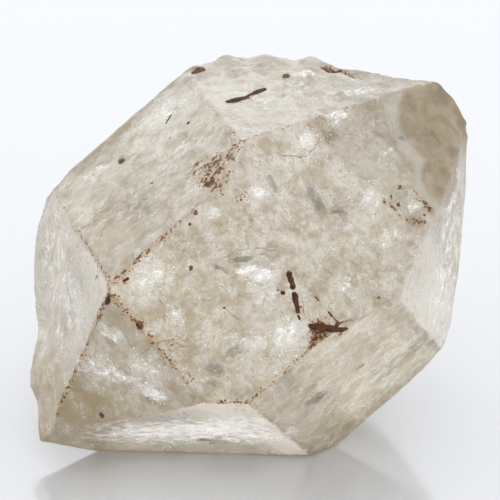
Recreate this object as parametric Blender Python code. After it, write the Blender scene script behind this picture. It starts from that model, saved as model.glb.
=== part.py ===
"""Herkimer diamond: one quartz crystal with a point at both ends, lying on a face of its lower end.

The crystal is what is left between eighteen flat faces: six sides along its length, and six at
each end. Each face is known by its distance from the crystal's centre. The shape is made in mm
about that centre, with +Z up, and the finished mesh is set on the ground in metres.
"""

import math

import bmesh
import bpy
from mathutils import Vector, noise

MM = 0.001

# The fixed angle of a quartz point, and the heading of the long axis on the ground
END_FACE_TILT_DEG = 51.787  # from the long axis to the outward direction of an end face
TURN_DEG = 19.2  # from +X towards +Y, to where the upper end points

# Distance in mm from the crystal's centre to each face, in turn about the long axis
SIDE_MM = (8.7, 8.25, 10.75, 10.7, 11.15, 9.05)
UPPER_MM = (8.0, 9.2, 12.65, 10.95, 12.1, 10.3)
LOWER_MM = (10.85, 10.25, 12.6, 9.65, 10.9, 10.05)
REST_FACE = "lower4"

# Wear
WORN_EDGE_MM = 0.17
WORN_EDGE_STEPS = 2

# Size of the cells that each face is parted into, so that it can hold its lumps and pits
PLAIN_CELL_MM = 0.95
NEAR_MM = 0.06  # a line that passes a corner this closely runs through it
WELD_MM = 0.03  # points closer than this become one
CELL_MM = {
    "side0": 0.6,
    "upper0": 0.7,
    "upper1": 0.42,
    "upper2": 0.5,
    "upper5": 0.8,
    "lower0": 0.9,
    "lower1": 0.65,
    "lower5": 0.9,
    "side1": 0.9,
    "side5": 0.9,
}

# Lumps and pits in mm: face, place to the right and towards the upper end, radius, height.
# Places are seen from outside, from the point of the face nearest the crystal's centre.
LUMPS = {
    "crest of the top face": ("upper1", -7.95, 3.8, 0.75, 0.42),
    "second crest": ("upper1", -6.9, 6.1, 0.6, 0.32),
    "third crest": ("upper1", -8.4, 1.1, 0.5, 0.2),
    "corner crest": ("upper1", -7.4, -0.6, 0.6, 0.22),
    "round lump": ("upper1", -4.5, 4.9, 0.55, 0.34),
    "lump beside it": ("upper1", -5.2, 3.9, 0.45, 0.2),
    "lump on the left": ("upper1", -6.3, 1.2, 0.6, 0.24),
    "lump in front": ("upper1", -3.6, 2.0, 0.7, 0.14),
    "lump on the right": ("upper1", -4.4, 6.9, 0.5, 0.22),
    "upper bulge of the left face": ("lower1", -6.7, -3.1, 2.0, 0.3),
    "lower bulge of the left face": ("lower1", -2.5, -9.7, 1.35, 0.36),
    "swelling of the right face": ("upper5", 5.4, 2.6, 2.2, 0.16),
    "swelling of the back": ("side3", -1.0, 0.6, 3.0, 0.12),
    "hillock on the upper back": ("upper3", 0.5, 3.5, 1.8, 0.16),
    "second hillock on the upper back": ("upper3", 3.0, -0.5, 1.5, 0.12),
    "hillock on the lower back": ("lower3", 1.0, -4.0, 1.8, 0.14),
}
PITS = {
    "dip between the crests": ("upper1", -7.35, 5.1, 0.45, -0.2),
    "hollow of the left face": ("lower1", -3.9, -7.1, 1.2, -0.5),
    "dent in the left face": ("lower1", 1.4, -4.6, 1.5, -0.15),
    "shell-shaped dent of the front": ("side0", -0.35, 0.25, 0.95, -0.26),
    "tail of that dent": ("side0", 0.45, 1.5, 0.7, -0.14),
    "pit with a rusty rim": ("upper0", 3.0, 5.0, 0.9, -0.26),
    "shallow dent above the front": ("upper0", -1.4, -0.6, 1.4, -0.08),
    "dent of the top face": ("upper1", -5.7, 2.7, 0.6, -0.16),
    "dent by the round lump": ("upper1", -3.4, 4.2, 0.6, -0.16),
    "dent of the right face": ("upper5", 2.6, 6.0, 1.2, -0.12),
    "dent of the bottom strip": ("lower5", 0.6, -6.2, 1.4, -0.1),
    "dent of the upper back": ("upper3", -2.5, 5.0, 1.3, -0.16),
    "dent of the lower back": ("lower3", -2.0, -1.0, 1.5, -0.14),
    "dent low on the right": ("side4", 1.0, 1.0, 1.4, -0.12),
    "dent high at the back": ("side2", -1.0, 1.5, 1.4, -0.12),
}

# Worn corners: the three faces that meet there, radius and height in mm
WORN_CORNERS = (
    ("upper1", "upper2", "upper3", 1.3, -0.2),
    ("upper0", "upper1", "upper3", 1.0, -0.08),
    ("upper0", "upper3", "upper5", 1.0, -0.1),
    ("upper3", "upper4", "upper5", 1.8, -0.35),
    ("side1", "side2", "lower1", 0.9, -0.25),
    ("upper5", "side5", "side4", 1.0, -0.25),
    ("lower0", "lower5", "lower1", 1.2, -0.3),
    ("side5", "lower5", "side4", 1.0, -0.2),
)
# Where the edge between the top and upper back faces has worn down: places on the top face
WORN_SLOPE_MM = ((-5.9, 7.4), (-4.9, 8.5), (-3.9, 9.6), (-2.9, 10.7))
WORN_SLOPE_RADIUS_MM = 1.2
WORN_SLOPE_DEPTH_MM = -0.3

# Gentle unevenness of each rough face: height and length of its waves in mm
WAVES_MM = {
    "upper1": (0.11, 1.0),
    "upper2": (0.12, 1.4),
    "upper5": (0.1, 2.6),
    "lower1": (0.12, 2.4),
    "lower5": (0.06, 2.2),
    "lower0": (0.04, 2.5),
    "side1": (0.03, 3.0),
    "side2": (0.06, 2.6),
    "side3": (0.05, 3.0),
    "side4": (0.05, 3.0),
    "side5": (0.03, 3.0),
    "upper3": (0.07, 2.2),
    "upper4": (0.06, 2.2),
    "lower2": (0.06, 2.2),
    "lower3": (0.07, 2.4),
}
WAVE_DEPTH_MM = 0.45  # how far in from a face its waves fade out, past the edge
LEAST_SLANT = 0.5  # a point moves along the line from the centre, by at most twice its height
REST_MARGIN_MM = 0.5  # height over which relief fades to none at the face it rests on

# Three-cornered notch where the front, upper and lower right faces meet
NOTCH_FACE = "side0"
NOTCH_MM = ((4.25, 0.5), (6.3, 2.2), (5.35, -0.5))  # its three corners on that face
NOTCH_BOTTOM_MM = (5.0, 0.95)
NOTCH_DEPTH_MM = 0.85
NOTCH_REACH = 2.2  # how far the cutter runs on past the surface

QUARTZ_COLOUR = (0.78, 0.75, 0.69, 1.0)
QUARTZ_ROUGHNESS = 0.12
QUARTZ_REFRACTION = 1.544


def grown_faces():
    """Outward direction and distance of the eighteen faces, and the direction of the long axis."""
    tilt = math.radians(END_FACE_TILT_DEG)
    rise = math.pi / 2 - tilt
    turn = math.radians(TURN_DEG)
    flat = Vector((math.cos(turn), math.sin(turn), 0.0))
    length = flat * math.cos(rise) + Vector((0.0, 0.0, math.sin(rise)))
    under = (Vector((0.0, 0.0, -1.0)) + length * math.cos(tilt)) / math.sin(tilt)
    beside = under.cross(length)
    faces = {}
    for k in range(6):
        angle = math.radians(60 * (k - int(REST_FACE[-1])))
        side = under * math.cos(angle) + beside * math.sin(angle)
        end = side * math.sin(tilt)
        faces[f"side{k}"] = (side, SIDE_MM[k])
        faces[f"upper{k}"] = (end + length * math.cos(tilt), UPPER_MM[k])
        faces[f"lower{k}"] = (end - length * math.cos(tilt), LOWER_MM[k])
    return faces, length


FACES, LENGTH = grown_faces()


def directions_on(normal):
    """The two directions in a face: to the right, seen from outside, and towards the upper end."""
    along = (LENGTH - normal * LENGTH.dot(normal)).normalized()
    return along.cross(normal), along


def point_on(name, right_mm, along_mm):
    """The point of a face at these two distances from its middle point."""
    normal, distance = FACES[name]
    right, along = directions_on(normal)
    return normal * distance + right * right_mm + along * along_mm


def corner_of(first, second, third):
    """The point where the planes of three faces meet."""
    (a, p), (b, q), (c, r) = FACES[first], FACES[second], FACES[third]
    return (b.cross(c) * p + c.cross(a) * q + a.cross(b) * r) / a.dot(b.cross(c))


def cut_flat(bm, normal, distance):
    """Takes away what lies beyond a plane and closes the cut with one flat face."""
    everything = bm.verts[:] + bm.edges[:] + bm.faces[:]
    cut = bmesh.ops.bisect_plane(
        bm, geom=everything, plane_co=normal * distance, plane_no=normal, clear_outer=True
    )
    rim = [item for item in cut["geom_cut"] if isinstance(item, bmesh.types.BMEdge)]
    if rim:
        bmesh.ops.edgeloop_fill(bm, edges=rim)


def grow_crystal(bm):
    """The sharp crystal: a block cut by its faces in turn."""
    bmesh.ops.create_cube(bm, size=6 * max(SIDE_MM))
    for normal, distance in FACES.values():
        cut_flat(bm, normal, distance)
    bmesh.ops.recalc_face_normals(bm, faces=bm.faces[:])


def wear_edges(bm):
    """Rounds every edge a little."""
    bmesh.ops.bevel(
        bm,
        geom=bm.edges[:],
        offset=WORN_EDGE_MM,
        offset_type="OFFSET",
        segments=WORN_EDGE_STEPS,
        profile=0.5,
        affect="EDGES",
        clamp_overlap=True,
        material=-1,
    )


def flats_of(bm, name):
    """The mesh faces that lie in one of the crystal's faces."""
    normal, distance = FACES[name]
    tolerance = 1e-3
    return [
        face
        for face in bm.faces
        if face.normal.dot(normal) > 1 - tolerance
        and abs(face.calc_center_median().dot(normal) - distance) < tolerance
    ]


def part_into_cells(bm, name, cell):
    """Scores one face with straight lines both ways, so that it can take relief."""
    for direction in directions_on(FACES[name][0]):
        reach = [vert.co.dot(direction) for face in flats_of(bm, name) for vert in face.verts]
        lines = math.ceil((max(reach) - min(reach)) / cell)
        for line in range(1, lines):
            at = min(reach) + (max(reach) - min(reach)) * line / lines
            faces = flats_of(bm, name)
            verts = list({vert for face in faces for vert in face.verts})
            edges = list({edge for face in faces for edge in face.edges})
            bmesh.ops.bisect_plane(
                bm,
                geom=verts + edges + faces,
                dist=NEAR_MM,
                plane_co=direction * at,
                plane_no=direction,
            )


def bumps():
    """Every lump, pit and worn corner as a point, a radius and a height."""
    listed = []
    for face, right, along, radius, height in (*LUMPS.values(), *PITS.values()):
        listed.append((point_on(face, right, along), radius, height))
    for first, second, third, radius, height in WORN_CORNERS:
        listed.append((corner_of(first, second, third), radius, height))
    for right, along in WORN_SLOPE_MM:
        place = point_on("upper1", right, along)
        listed.append((place, WORN_SLOPE_RADIUS_MM, WORN_SLOPE_DEPTH_MM))
    return listed


def height_at(point, listed):
    """How far the surface stands out at a point, in mm."""
    height = 0.0
    for centre, radius, rise in listed:
        height += rise * math.exp(-((point - centre).length_squared) / radius**2)
    for name, (rise, length) in WAVES_MM.items():
        normal, distance = FACES[name]
        depth = (distance - normal.dot(point)) / WAVE_DEPTH_MM
        if abs(depth) < 3:
            height += rise * math.exp(-(depth**2)) * noise.noise(point / length)
    above = point.z + FACES[REST_FACE][1]
    return height * min(1.0, max(0.0, above / REST_MARGIN_MM))


def raise_relief(bm):
    """Moves every point of the surface along the line from the centre, by lumps, pits and waves."""
    bm.normal_update()
    listed = bumps()
    moves = []
    for vert in bm.verts:
        outward = vert.co.normalized()
        slant = max(LEAST_SLANT, vert.normal.dot(outward))
        moves.append(outward * (height_at(vert.co, listed) / slant))
    for vert, move in zip(bm.verts, moves):
        vert.co += move


def set_on_ground(bm):
    """Puts the middle of the base of its box at the origin, and turns mm into metres."""
    low = [min(vert.co[axis] for vert in bm.verts) for axis in range(3)]
    high = [max(vert.co[axis] for vert in bm.verts) for axis in range(3)]
    centre = Vector(((low[0] + high[0]) / 2, (low[1] + high[1]) / 2, low[2]))
    bmesh.ops.translate(bm, vec=-centre, verts=bm.verts[:])
    bmesh.ops.scale(bm, vec=(MM, MM, MM), verts=bm.verts[:])
    return centre


def quartz():
    """Clear to cloudy quartz."""
    material = bpy.data.materials.new("quartz")
    material.use_nodes = True
    shader = material.node_tree.nodes["Principled BSDF"]
    shader.inputs["Base Color"].default_value = QUARTZ_COLOUR
    shader.inputs["Roughness"].default_value = QUARTZ_ROUGHNESS
    shader.inputs["Metallic"].default_value = 0.0
    shader.inputs["IOR"].default_value = QUARTZ_REFRACTION
    shader.inputs["Transmission Weight"].default_value = 0.6
    return material


def add_object(name, bm):
    """Turns a bmesh into a named object in the scene."""
    mesh = bpy.data.meshes.new(name)
    bm.to_mesh(mesh)
    bm.free()
    item = bpy.data.objects.new(name, mesh)
    bpy.context.scene.collection.objects.link(item)
    return item


def make_crystal():
    """The crystal, and the point that its own centre was moved from."""
    bm = bmesh.new()
    grow_crystal(bm)
    wear_edges(bm)
    for name in FACES:
        if name != REST_FACE:
            part_into_cells(bm, name, CELL_MM.get(name, PLAIN_CELL_MM))
    bmesh.ops.remove_doubles(bm, verts=bm.verts[:], dist=WELD_MM)
    bmesh.ops.triangulate(bm, faces=bm.faces[:])
    raise_relief(bm)
    moved = set_on_ground(bm)
    crystal = add_object("crystal", bm)
    crystal.data.shade_smooth()
    crystal.data.set_sharp_from_angle(angle=math.radians(25))
    crystal.data.materials.append(quartz())
    return crystal, moved


def make_notch_cutter(moved):
    """A three-sided point that reaches into the crystal, with its base out in the open."""
    normal = FACES[NOTCH_FACE][0]
    bottom = point_on(NOTCH_FACE, *NOTCH_BOTTOM_MM) - normal * NOTCH_DEPTH_MM
    bm = bmesh.new()
    bmesh.ops.create_vert(bm, co=bottom)
    for right, along in NOTCH_MM:
        mouth = point_on(NOTCH_FACE, right, along)
        bmesh.ops.create_vert(bm, co=bottom + (mouth - bottom) * NOTCH_REACH)
    bmesh.ops.convex_hull(bm, input=bm.verts[:])
    bmesh.ops.recalc_face_normals(bm, faces=bm.faces[:])
    bmesh.ops.translate(bm, vec=-moved, verts=bm.verts[:])
    bmesh.ops.scale(bm, vec=(MM, MM, MM), verts=bm.verts[:])
    cutter = add_object("notch_cutter", bm)
    cutter.hide_render = True
    cutter.display_type = "WIRE"
    return cutter


def main():
    for item in list(bpy.data.objects):
        bpy.data.objects.remove(item, do_unlink=True)
    crystal, moved = make_crystal()
    notch = crystal.modifiers.new("Notch", "BOOLEAN")
    notch.operation = "DIFFERENCE"
    notch.solver = "EXACT"
    notch.object = make_notch_cutter(moved)


main()
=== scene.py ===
# %% [markdown]
# # A herkimer diamond, dressed
# This lesson dresses one quartz crystal about 31 mm long, with a point at both ends.
# It lies on one of its flat faces on a glossy white table. The crystal is clear stone full of
# white veils and frost, with rust on its edges and a few dark rods caught in its surface.
# The plain solid comes from the CAD model. Here it is grown again from the same measures,
# with a finer surface, and gets the looks of the real stone.

import math
import random

import bmesh
import bpy
from mathutils import Matrix, Vector, noise


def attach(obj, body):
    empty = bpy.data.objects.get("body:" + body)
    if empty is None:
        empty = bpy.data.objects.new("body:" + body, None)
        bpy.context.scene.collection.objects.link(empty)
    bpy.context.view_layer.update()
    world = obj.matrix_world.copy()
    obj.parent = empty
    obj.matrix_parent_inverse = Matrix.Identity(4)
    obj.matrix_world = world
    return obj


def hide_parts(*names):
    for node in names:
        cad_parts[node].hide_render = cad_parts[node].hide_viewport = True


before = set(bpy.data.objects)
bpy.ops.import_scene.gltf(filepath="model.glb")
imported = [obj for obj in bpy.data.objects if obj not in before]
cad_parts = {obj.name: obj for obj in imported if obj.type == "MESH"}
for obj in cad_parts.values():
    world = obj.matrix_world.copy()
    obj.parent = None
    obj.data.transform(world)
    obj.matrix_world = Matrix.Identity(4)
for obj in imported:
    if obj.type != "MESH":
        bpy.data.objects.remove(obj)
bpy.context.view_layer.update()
MM = 0.001

# %% [markdown]
# ## Camera
# The picture looks down on the stone at 26 degrees from a fair distance, so edges that are
# parallel on the stone stay nearly parallel. A long lens gives that look. The camera stands
# straight back from the point it looks at, and is rolled by one degree, as the picture is.

# %% Camera
LOOK_AT_MM = Vector((0.054, -0.640, 11.524))
CAMERA_RISE_DEG = 26.369
CAMERA_ROLL_DEG = 0.979
CAMERA_DISTANCE_MM = 145.0
LENS_MM = 180.0
SENSOR_MM = 36.0
NEAREST_M, FARTHEST_M = 0.005, 20.0  # the camera sees what lies between these


def make_camera():
    rise = math.radians(CAMERA_RISE_DEG)
    back = Vector((0.0, -math.cos(rise), math.sin(rise)))
    up = Vector((0.0, math.sin(rise), math.cos(rise)))
    turned = Matrix((Vector((1, 0, 0)), up, back)).transposed()
    roll = Matrix.Rotation(math.radians(CAMERA_ROLL_DEG), 3, "Z")
    data = bpy.data.cameras.new("camera")
    data.lens = LENS_MM
    data.sensor_width = SENSOR_MM
    data.clip_start = NEAREST_M
    data.clip_end = FARTHEST_M
    camera = bpy.data.objects.new("camera", data)
    placed = (turned @ roll).to_4x4()
    placed.translation = (LOOK_AT_MM + back * CAMERA_DISTANCE_MM) * MM
    camera.matrix_world = placed
    bpy.context.scene.collection.objects.link(camera)
    bpy.context.scene.camera = camera
    return camera


camera = make_camera()
print("camera stands at", [round(v, 4) for v in camera.matrix_world.translation])

# %% [markdown]
# ## The eighteen faces
# A quartz crystal is what is left between flat faces: six sides along its length, and six at
# each end. The angle between them never changes, only how far out each face grew. So each
# face needs one number, its distance from the middle. Cutting a block by these faces in turn
# gives every corner its true place, which modelling corner by corner would not.

# %% Measures of the faces
END_FACE_TILT_DEG = 51.787  # from the long axis to the outward direction of an end face
TURN_DEG = 19.2  # heading of the long axis on the table
SIDE_MM = (8.7, 8.25, 10.75, 10.7, 11.15, 9.05)
UPPER_MM = (8.0, 9.2, 12.65, 10.95, 12.1, 10.3)
LOWER_MM = (10.85, 10.25, 12.6, 9.65, 10.9, 10.05)
REST_FACE = "lower4"
MIDDLE_MM = Vector((0.0423, -0.9494, 10.9))  # the crystal's own middle, above the table


def grown_faces():
    """Outward direction and distance of the eighteen faces, and the direction of the long axis."""
    tilt = math.radians(END_FACE_TILT_DEG)
    rise = math.pi / 2 - tilt
    turn = math.radians(TURN_DEG)
    flat = Vector((math.cos(turn), math.sin(turn), 0.0))
    length = flat * math.cos(rise) + Vector((0.0, 0.0, math.sin(rise)))
    under = (Vector((0.0, 0.0, -1.0)) + length * math.cos(tilt)) / math.sin(tilt)
    beside = under.cross(length)
    faces = {}
    for k in range(6):
        angle = math.radians(60 * (k - int(REST_FACE[-1])))
        side = under * math.cos(angle) + beside * math.sin(angle)
        end = side * math.sin(tilt)
        faces[f"side{k}"] = (side, SIDE_MM[k])
        faces[f"upper{k}"] = (end + length * math.cos(tilt), UPPER_MM[k])
        faces[f"lower{k}"] = (end - length * math.cos(tilt), LOWER_MM[k])
    return faces, length


FACES, LENGTH = grown_faces()
print("faces:", ", ".join(FACES))

# %% [markdown]
# ## Places on a face
# Every lump, pit, crack and rust spot is named by its face and by two distances in mm from
# the point of that face nearest the middle: to the right, seen from outside, and towards the
# upper end. That keeps a mark on the face it belongs to, seen from any side.


# %% Places on a face
def directions_on(normal):
    """The two directions in a face: to the right, seen from outside, and towards the upper end."""
    along = (LENGTH - normal * LENGTH.dot(normal)).normalized()
    return along.cross(normal), along


def point_on(name, right_mm, along_mm):
    """The point of a face at these two distances from its middle point."""
    normal, distance = FACES[name]
    right, along = directions_on(normal)
    return normal * distance + right * right_mm + along * along_mm


def corner_of(first, second, third):
    """The point where the planes of three faces meet."""
    (a, p), (b, q), (c, r) = FACES[first], FACES[second], FACES[third]
    return (b.cross(c) * p + c.cross(a) * q + a.cross(b) * r) / a.dot(b.cross(c))


print("upper tip, in mm from the middle:", corner_of("upper0", "upper3", "upper5"))

# %% [markdown]
# ## Grow the crystal and wear its edges
# A block is cut by the faces in turn, and each cut is closed with one flat face. A small
# bevel then dulls the edges, as years of rolling in clay did. Two edges of the front are worn
# so far that they can hardly be seen. They are smoothed later instead, once the mesh is fine.

# %% Grow the crystal
WORN_EDGE_MM = 0.1


def cut_flat(bm, normal, distance):
    """Takes away what lies beyond a plane and closes the cut with one flat face."""
    everything = bm.verts[:] + bm.edges[:] + bm.faces[:]
    cut = bmesh.ops.bisect_plane(
        bm, geom=everything, plane_co=normal * distance, plane_no=normal, clear_outer=True
    )
    rim = [item for item in cut["geom_cut"] if isinstance(item, bmesh.types.BMEdge)]
    if rim:
        bmesh.ops.edgeloop_fill(bm, edges=rim)


stone = bmesh.new()
bmesh.ops.create_cube(stone, size=6 * max(SIDE_MM))
for normal, distance in FACES.values():
    cut_flat(stone, normal, distance)
bmesh.ops.recalc_face_normals(stone, faces=stone.faces[:])
bmesh.ops.bevel(
    stone,
    geom=stone.edges[:],
    offset=WORN_EDGE_MM,
    offset_type="OFFSET",
    segments=1,
    profile=0.5,
    affect="EDGES",
    clamp_overlap=True,
    material=-1,
)
print("worn crystal:", len(stone.faces), "faces")

# %% [markdown]
# ## Part each face into cells
# A flat face has no points inside it to lift. Straight scores both ways give it a grid, finer
# where the stone is rougher, and one more subdivision makes every triangle sixteen. A grid is
# kinder than a remesh here, because it leaves the crystal's sharp edges where they are.

# %% Part each face into cells
PLAIN_CELL_MM = 0.95
NEAR_MM = 0.06  # a line that passes a corner this closely runs through it
WELD_MM = 0.03  # points closer than this become one
FINER_CUTS = 3  # new points on every edge
FLAT_TOLERANCE = 1e-3  # for telling which crystal face a mesh face lies in
CELL_MM = {
    "side0": 0.6,
    "upper0": 0.7,
    "upper1": 0.42,
    "upper2": 0.5,
    "upper5": 0.8,
    "lower0": 0.9,
    "lower1": 0.65,
    "lower5": 0.9,
    "side1": 0.9,
    "side5": 0.9,
}


def flats_of(bm, name):
    """The mesh faces that lie in one of the crystal's faces."""
    normal, distance = FACES[name]
    return [
        face
        for face in bm.faces
        if face.normal.dot(normal) > 1 - FLAT_TOLERANCE
        and abs(face.calc_center_median().dot(normal) - distance) < FLAT_TOLERANCE
    ]


def part_into_cells(bm, name, cell):
    """Scores one face with straight lines both ways, so that it can take relief."""
    for direction in directions_on(FACES[name][0]):
        reach = [vert.co.dot(direction) for face in flats_of(bm, name) for vert in face.verts]
        lines = math.ceil((max(reach) - min(reach)) / cell)
        for line in range(1, lines):
            at = min(reach) + (max(reach) - min(reach)) * line / lines
            faces = flats_of(bm, name)
            verts = list({vert for face in faces for vert in face.verts})
            edges = list({edge for face in faces for edge in face.edges})
            bmesh.ops.bisect_plane(
                bm,
                geom=verts + edges + faces,
                dist=NEAR_MM,
                plane_co=direction * at,
                plane_no=direction,
            )


for name in FACES:
    if name != REST_FACE:
        part_into_cells(stone, name, CELL_MM.get(name, PLAIN_CELL_MM))
bmesh.ops.remove_doubles(stone, verts=stone.verts[:], dist=WELD_MM)
bmesh.ops.triangulate(stone, faces=stone.faces[:])
bmesh.ops.subdivide_edges(stone, edges=stone.edges[:], cuts=FINER_CUTS, use_grid_fill=True)
bmesh.ops.triangulate(stone, faces=stone.faces[:])
print("cells:", len(stone.verts), "points,", len(stone.faces), "triangles")

# %% [markdown]
# ## Lumps, pits and waves
# The top face is lumpy where the crystal grew against its neighbours, the left face has a
# hollow, and the front has a shell-shaped dent. Each is a soft bump with a place, a radius
# and a height. Wide waves make the rough faces uneven, and a second set of short waves adds
# the etched skin that the CAD solid is too coarse for. A point moves along the line from the
# crystal's middle, so that the surface can never fold over itself.

# %% Lumps, pits and waves
LUMPS = {  # face, right, along, radius and height in mm
    "crest of the top face": ("upper1", -7.95, 3.8, 0.95, 0.26),
    "second crest": ("upper1", -6.9, 6.1, 0.8, 0.22),
    "third crest": ("upper1", -8.4, 1.1, 0.7, 0.12),
    "corner crest": ("upper1", -7.4, -0.6, 0.7, 0.16),
    "round lump": ("upper1", -4.5, 4.9, 0.55, 0.34),
    "lump beside it": ("upper1", -5.2, 3.9, 0.45, 0.2),
    "lump on the left": ("upper1", -6.3, 1.2, 0.6, 0.24),
    "lump in front": ("upper1", -3.6, 2.0, 0.7, 0.14),
    "lump on the right": ("upper1", -4.4, 6.9, 0.5, 0.22),
    "upper bulge of the left face": ("lower1", -6.7, -3.1, 2.0, 0.3),
    "lower bulge of the left face": ("lower1", -2.5, -9.7, 1.35, 0.36),
    "swelling of the right face": ("upper5", 5.4, 2.6, 2.2, 0.16),
    "swelling of the back": ("side3", -1.0, 0.6, 3.0, 0.12),
    "hillock on the upper back": ("upper3", 0.5, 3.5, 1.8, 0.16),
    "second hillock on the upper back": ("upper3", 3.0, -0.5, 1.5, 0.12),
    "hillock on the lower back": ("lower3", 1.0, -4.0, 1.8, 0.14),
}
PITS = {  # the same, with negative heights
    "dip between the crests": ("upper1", -7.35, 5.1, 0.45, -0.2),
    "hollow of the left face": ("lower1", -3.9, -7.1, 1.2, -0.5),
    "dent in the left face": ("lower1", 1.4, -4.6, 1.5, -0.15),
    "shell-shaped dent of the front": ("side0", -0.35, 0.25, 0.95, -0.26),
    "tail of that dent": ("side0", 0.45, 1.5, 0.7, -0.14),
    "pit with a rusty rim": ("upper0", 3.0, 5.0, 0.9, -0.26),
    "shallow dent above the front": ("upper0", -1.4, -0.6, 1.4, -0.08),
    "dent of the top face": ("upper1", -5.7, 2.7, 0.6, -0.16),
    "dent by the round lump": ("upper1", -3.4, 4.2, 0.6, -0.16),
    "dent of the right face": ("upper5", 2.6, 6.0, 1.2, -0.12),
    "dent of the bottom strip": ("lower5", 0.6, -6.2, 1.4, -0.1),
    "dent of the upper back": ("upper3", -2.5, 5.0, 1.3, -0.16),
    "dent of the lower back": ("lower3", -2.0, -1.0, 1.5, -0.14),
    "dent low on the right": ("side4", 1.0, 1.0, 1.4, -0.12),
    "dent high at the back": ("side2", -1.0, 1.5, 1.4, -0.12),
}
WORN_CORNERS = (  # the three faces that meet there, radius and height
    ("upper1", "upper2", "upper3", 1.3, -0.2),
    ("upper0", "upper1", "upper3", 1.0, -0.08),
    ("upper0", "upper3", "upper5", 1.0, -0.1),
    ("upper3", "upper4", "upper5", 1.8, -0.35),
    ("side1", "side2", "lower1", 0.9, -0.25),
    ("upper5", "side5", "side4", 1.0, -0.25),
    ("lower0", "lower5", "lower1", 1.2, -0.3),
    ("side5", "lower5", "side4", 1.0, -0.2),
)
WORN_SLOPE_MM = ((-5.9, 7.4), (-4.9, 8.5), (-3.9, 9.6), (-2.9, 10.7))  # on the top face
WORN_SLOPE_RADIUS_MM = 1.2
WORN_SLOPE_DEPTH_MM = -0.3
WAVES_MM = {  # height and length of the wide waves of each rough face
    "upper1": (0.11, 1.0),
    "upper2": (0.12, 1.4),
    "upper5": (0.1, 2.6),
    "lower1": (0.12, 2.4),
    "lower5": (0.06, 2.2),
    "lower0": (0.04, 2.5),
    "side1": (0.03, 3.0),
    "side2": (0.06, 2.6),
    "side3": (0.05, 3.0),
    "side4": (0.05, 3.0),
    "side5": (0.03, 3.0),
    "upper3": (0.07, 2.2),
    "upper4": (0.06, 2.2),
    "lower2": (0.06, 2.2),
    "lower3": (0.07, 2.4),
}
SKIN_MM = {"upper1": 0.05, "upper2": 0.05, "side0": 0.03, "upper0": 0.03}
PLAIN_SKIN_MM = 0.015
SKIN_LENGTH_MM = 0.55
SOFT_EDGES = (  # two faces, and a third whose edge stays crisp
    ("side0", "upper0", "upper1"),
    ("side1", "upper1", "upper0"),
)
CRISP_MM = 0.35
SOFT_REACH_MM = 0.75  # how deep under both faces a soft edge is worn round
SOFT_ROUNDS = 14
WAVE_DEPTH_MM = 0.45  # how far in from a face its waves fade out, past the edge
LEAST_SLANT = 0.5  # a point moves along the line from the middle, by at most twice its height
REST_MARGIN_MM = 0.5  # height over which relief fades to none at the face it rests on
BUMP_END = 12  # a bump has faded out where the square of the distance in radii is this large
WAVE_END = 3  # a face's waves have faded out this many wave depths under it
print("lumps:", len(LUMPS), "pits:", len(PITS), "faces with waves:", len(WAVES_MM))


# %% Height of the surface
def bumps():
    """Every lump, pit and worn corner as a point, a radius and a height."""
    listed = []
    for face, right, along, radius, height in (*LUMPS.values(), *PITS.values()):
        listed.append((point_on(face, right, along), radius, height))
    for first, second, third, radius, height in WORN_CORNERS:
        listed.append((corner_of(first, second, third), radius, height))
    for right, along in WORN_SLOPE_MM:
        place = point_on("upper1", right, along)
        listed.append((place, WORN_SLOPE_RADIUS_MM, WORN_SLOPE_DEPTH_MM))
    return listed


BUMPS = bumps()


def edge_distance(point, first, second):
    """How far a point lies from the edge between two faces: the square of its depths under both."""
    (a, p), (b, q) = FACES[first], FACES[second]
    return (p - a.dot(point)) ** 2 + (q - b.dot(point)) ** 2


def height_at(point):
    """How far the surface stands out at a point, in mm."""
    height = 0.0
    for centre, radius, rise in BUMPS:
        away = (point - centre).length_squared / radius**2
        if away < BUMP_END:
            height += rise * math.exp(-away)
    for name, (normal, distance) in FACES.items():
        depth = (distance - normal.dot(point)) / WAVE_DEPTH_MM
        if abs(depth) < WAVE_END:
            rise, length = WAVES_MM.get(name, (0.0, 1.0))
            wave = rise * noise.noise(point / length)
            wave += SKIN_MM.get(name, PLAIN_SKIN_MM) * noise.noise(point / SKIN_LENGTH_MM)
            height += wave * math.exp(-(depth**2))
    above = point.z + FACES[REST_FACE][1]
    return height * min(1.0, max(0.0, above / REST_MARGIN_MM))


def lifted(point, normal):
    """Where a point of the flat crystal comes to lie, once the relief is on."""
    outward = point.normalized()
    slant = max(LEAST_SLANT, normal.dot(outward))
    return point + outward * (height_at(point) / slant)


crest = point_on("upper1", -7.95, 3.8)
print("the crest of the top face stands out by", round(height_at(crest), 2), "mm")

# %% Wear two edges round and lift the surface
for first, second, crisp in SOFT_EDGES:
    normal, distance = FACES[crisp]
    worn = [
        vert
        for vert in stone.verts
        if edge_distance(vert.co, first, second) < SOFT_REACH_MM**2
        and distance - normal.dot(vert.co) > CRISP_MM
    ]
    for number in range(SOFT_ROUNDS):
        bmesh.ops.smooth_vert(
            stone, verts=worn, factor=0.5, use_axis_x=True, use_axis_y=True, use_axis_z=True
        )
stone.normal_update()
places = [lifted(vert.co, vert.normal) for vert in stone.verts]
for vert, place in zip(stone.verts, places):
    vert.co = place
print("relief on", len(places), "points")

# %% [markdown]
# ## From middle to table, and the notch
# The crystal has been made in mm about its own middle. Now it is set on the table in metres.
# The three-cornered notch low on the front is cut with a Boolean, because its walls are
# steep and crisp, and relief would smear them. The result is applied, so that the finished
# piece is one plain mesh.

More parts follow.
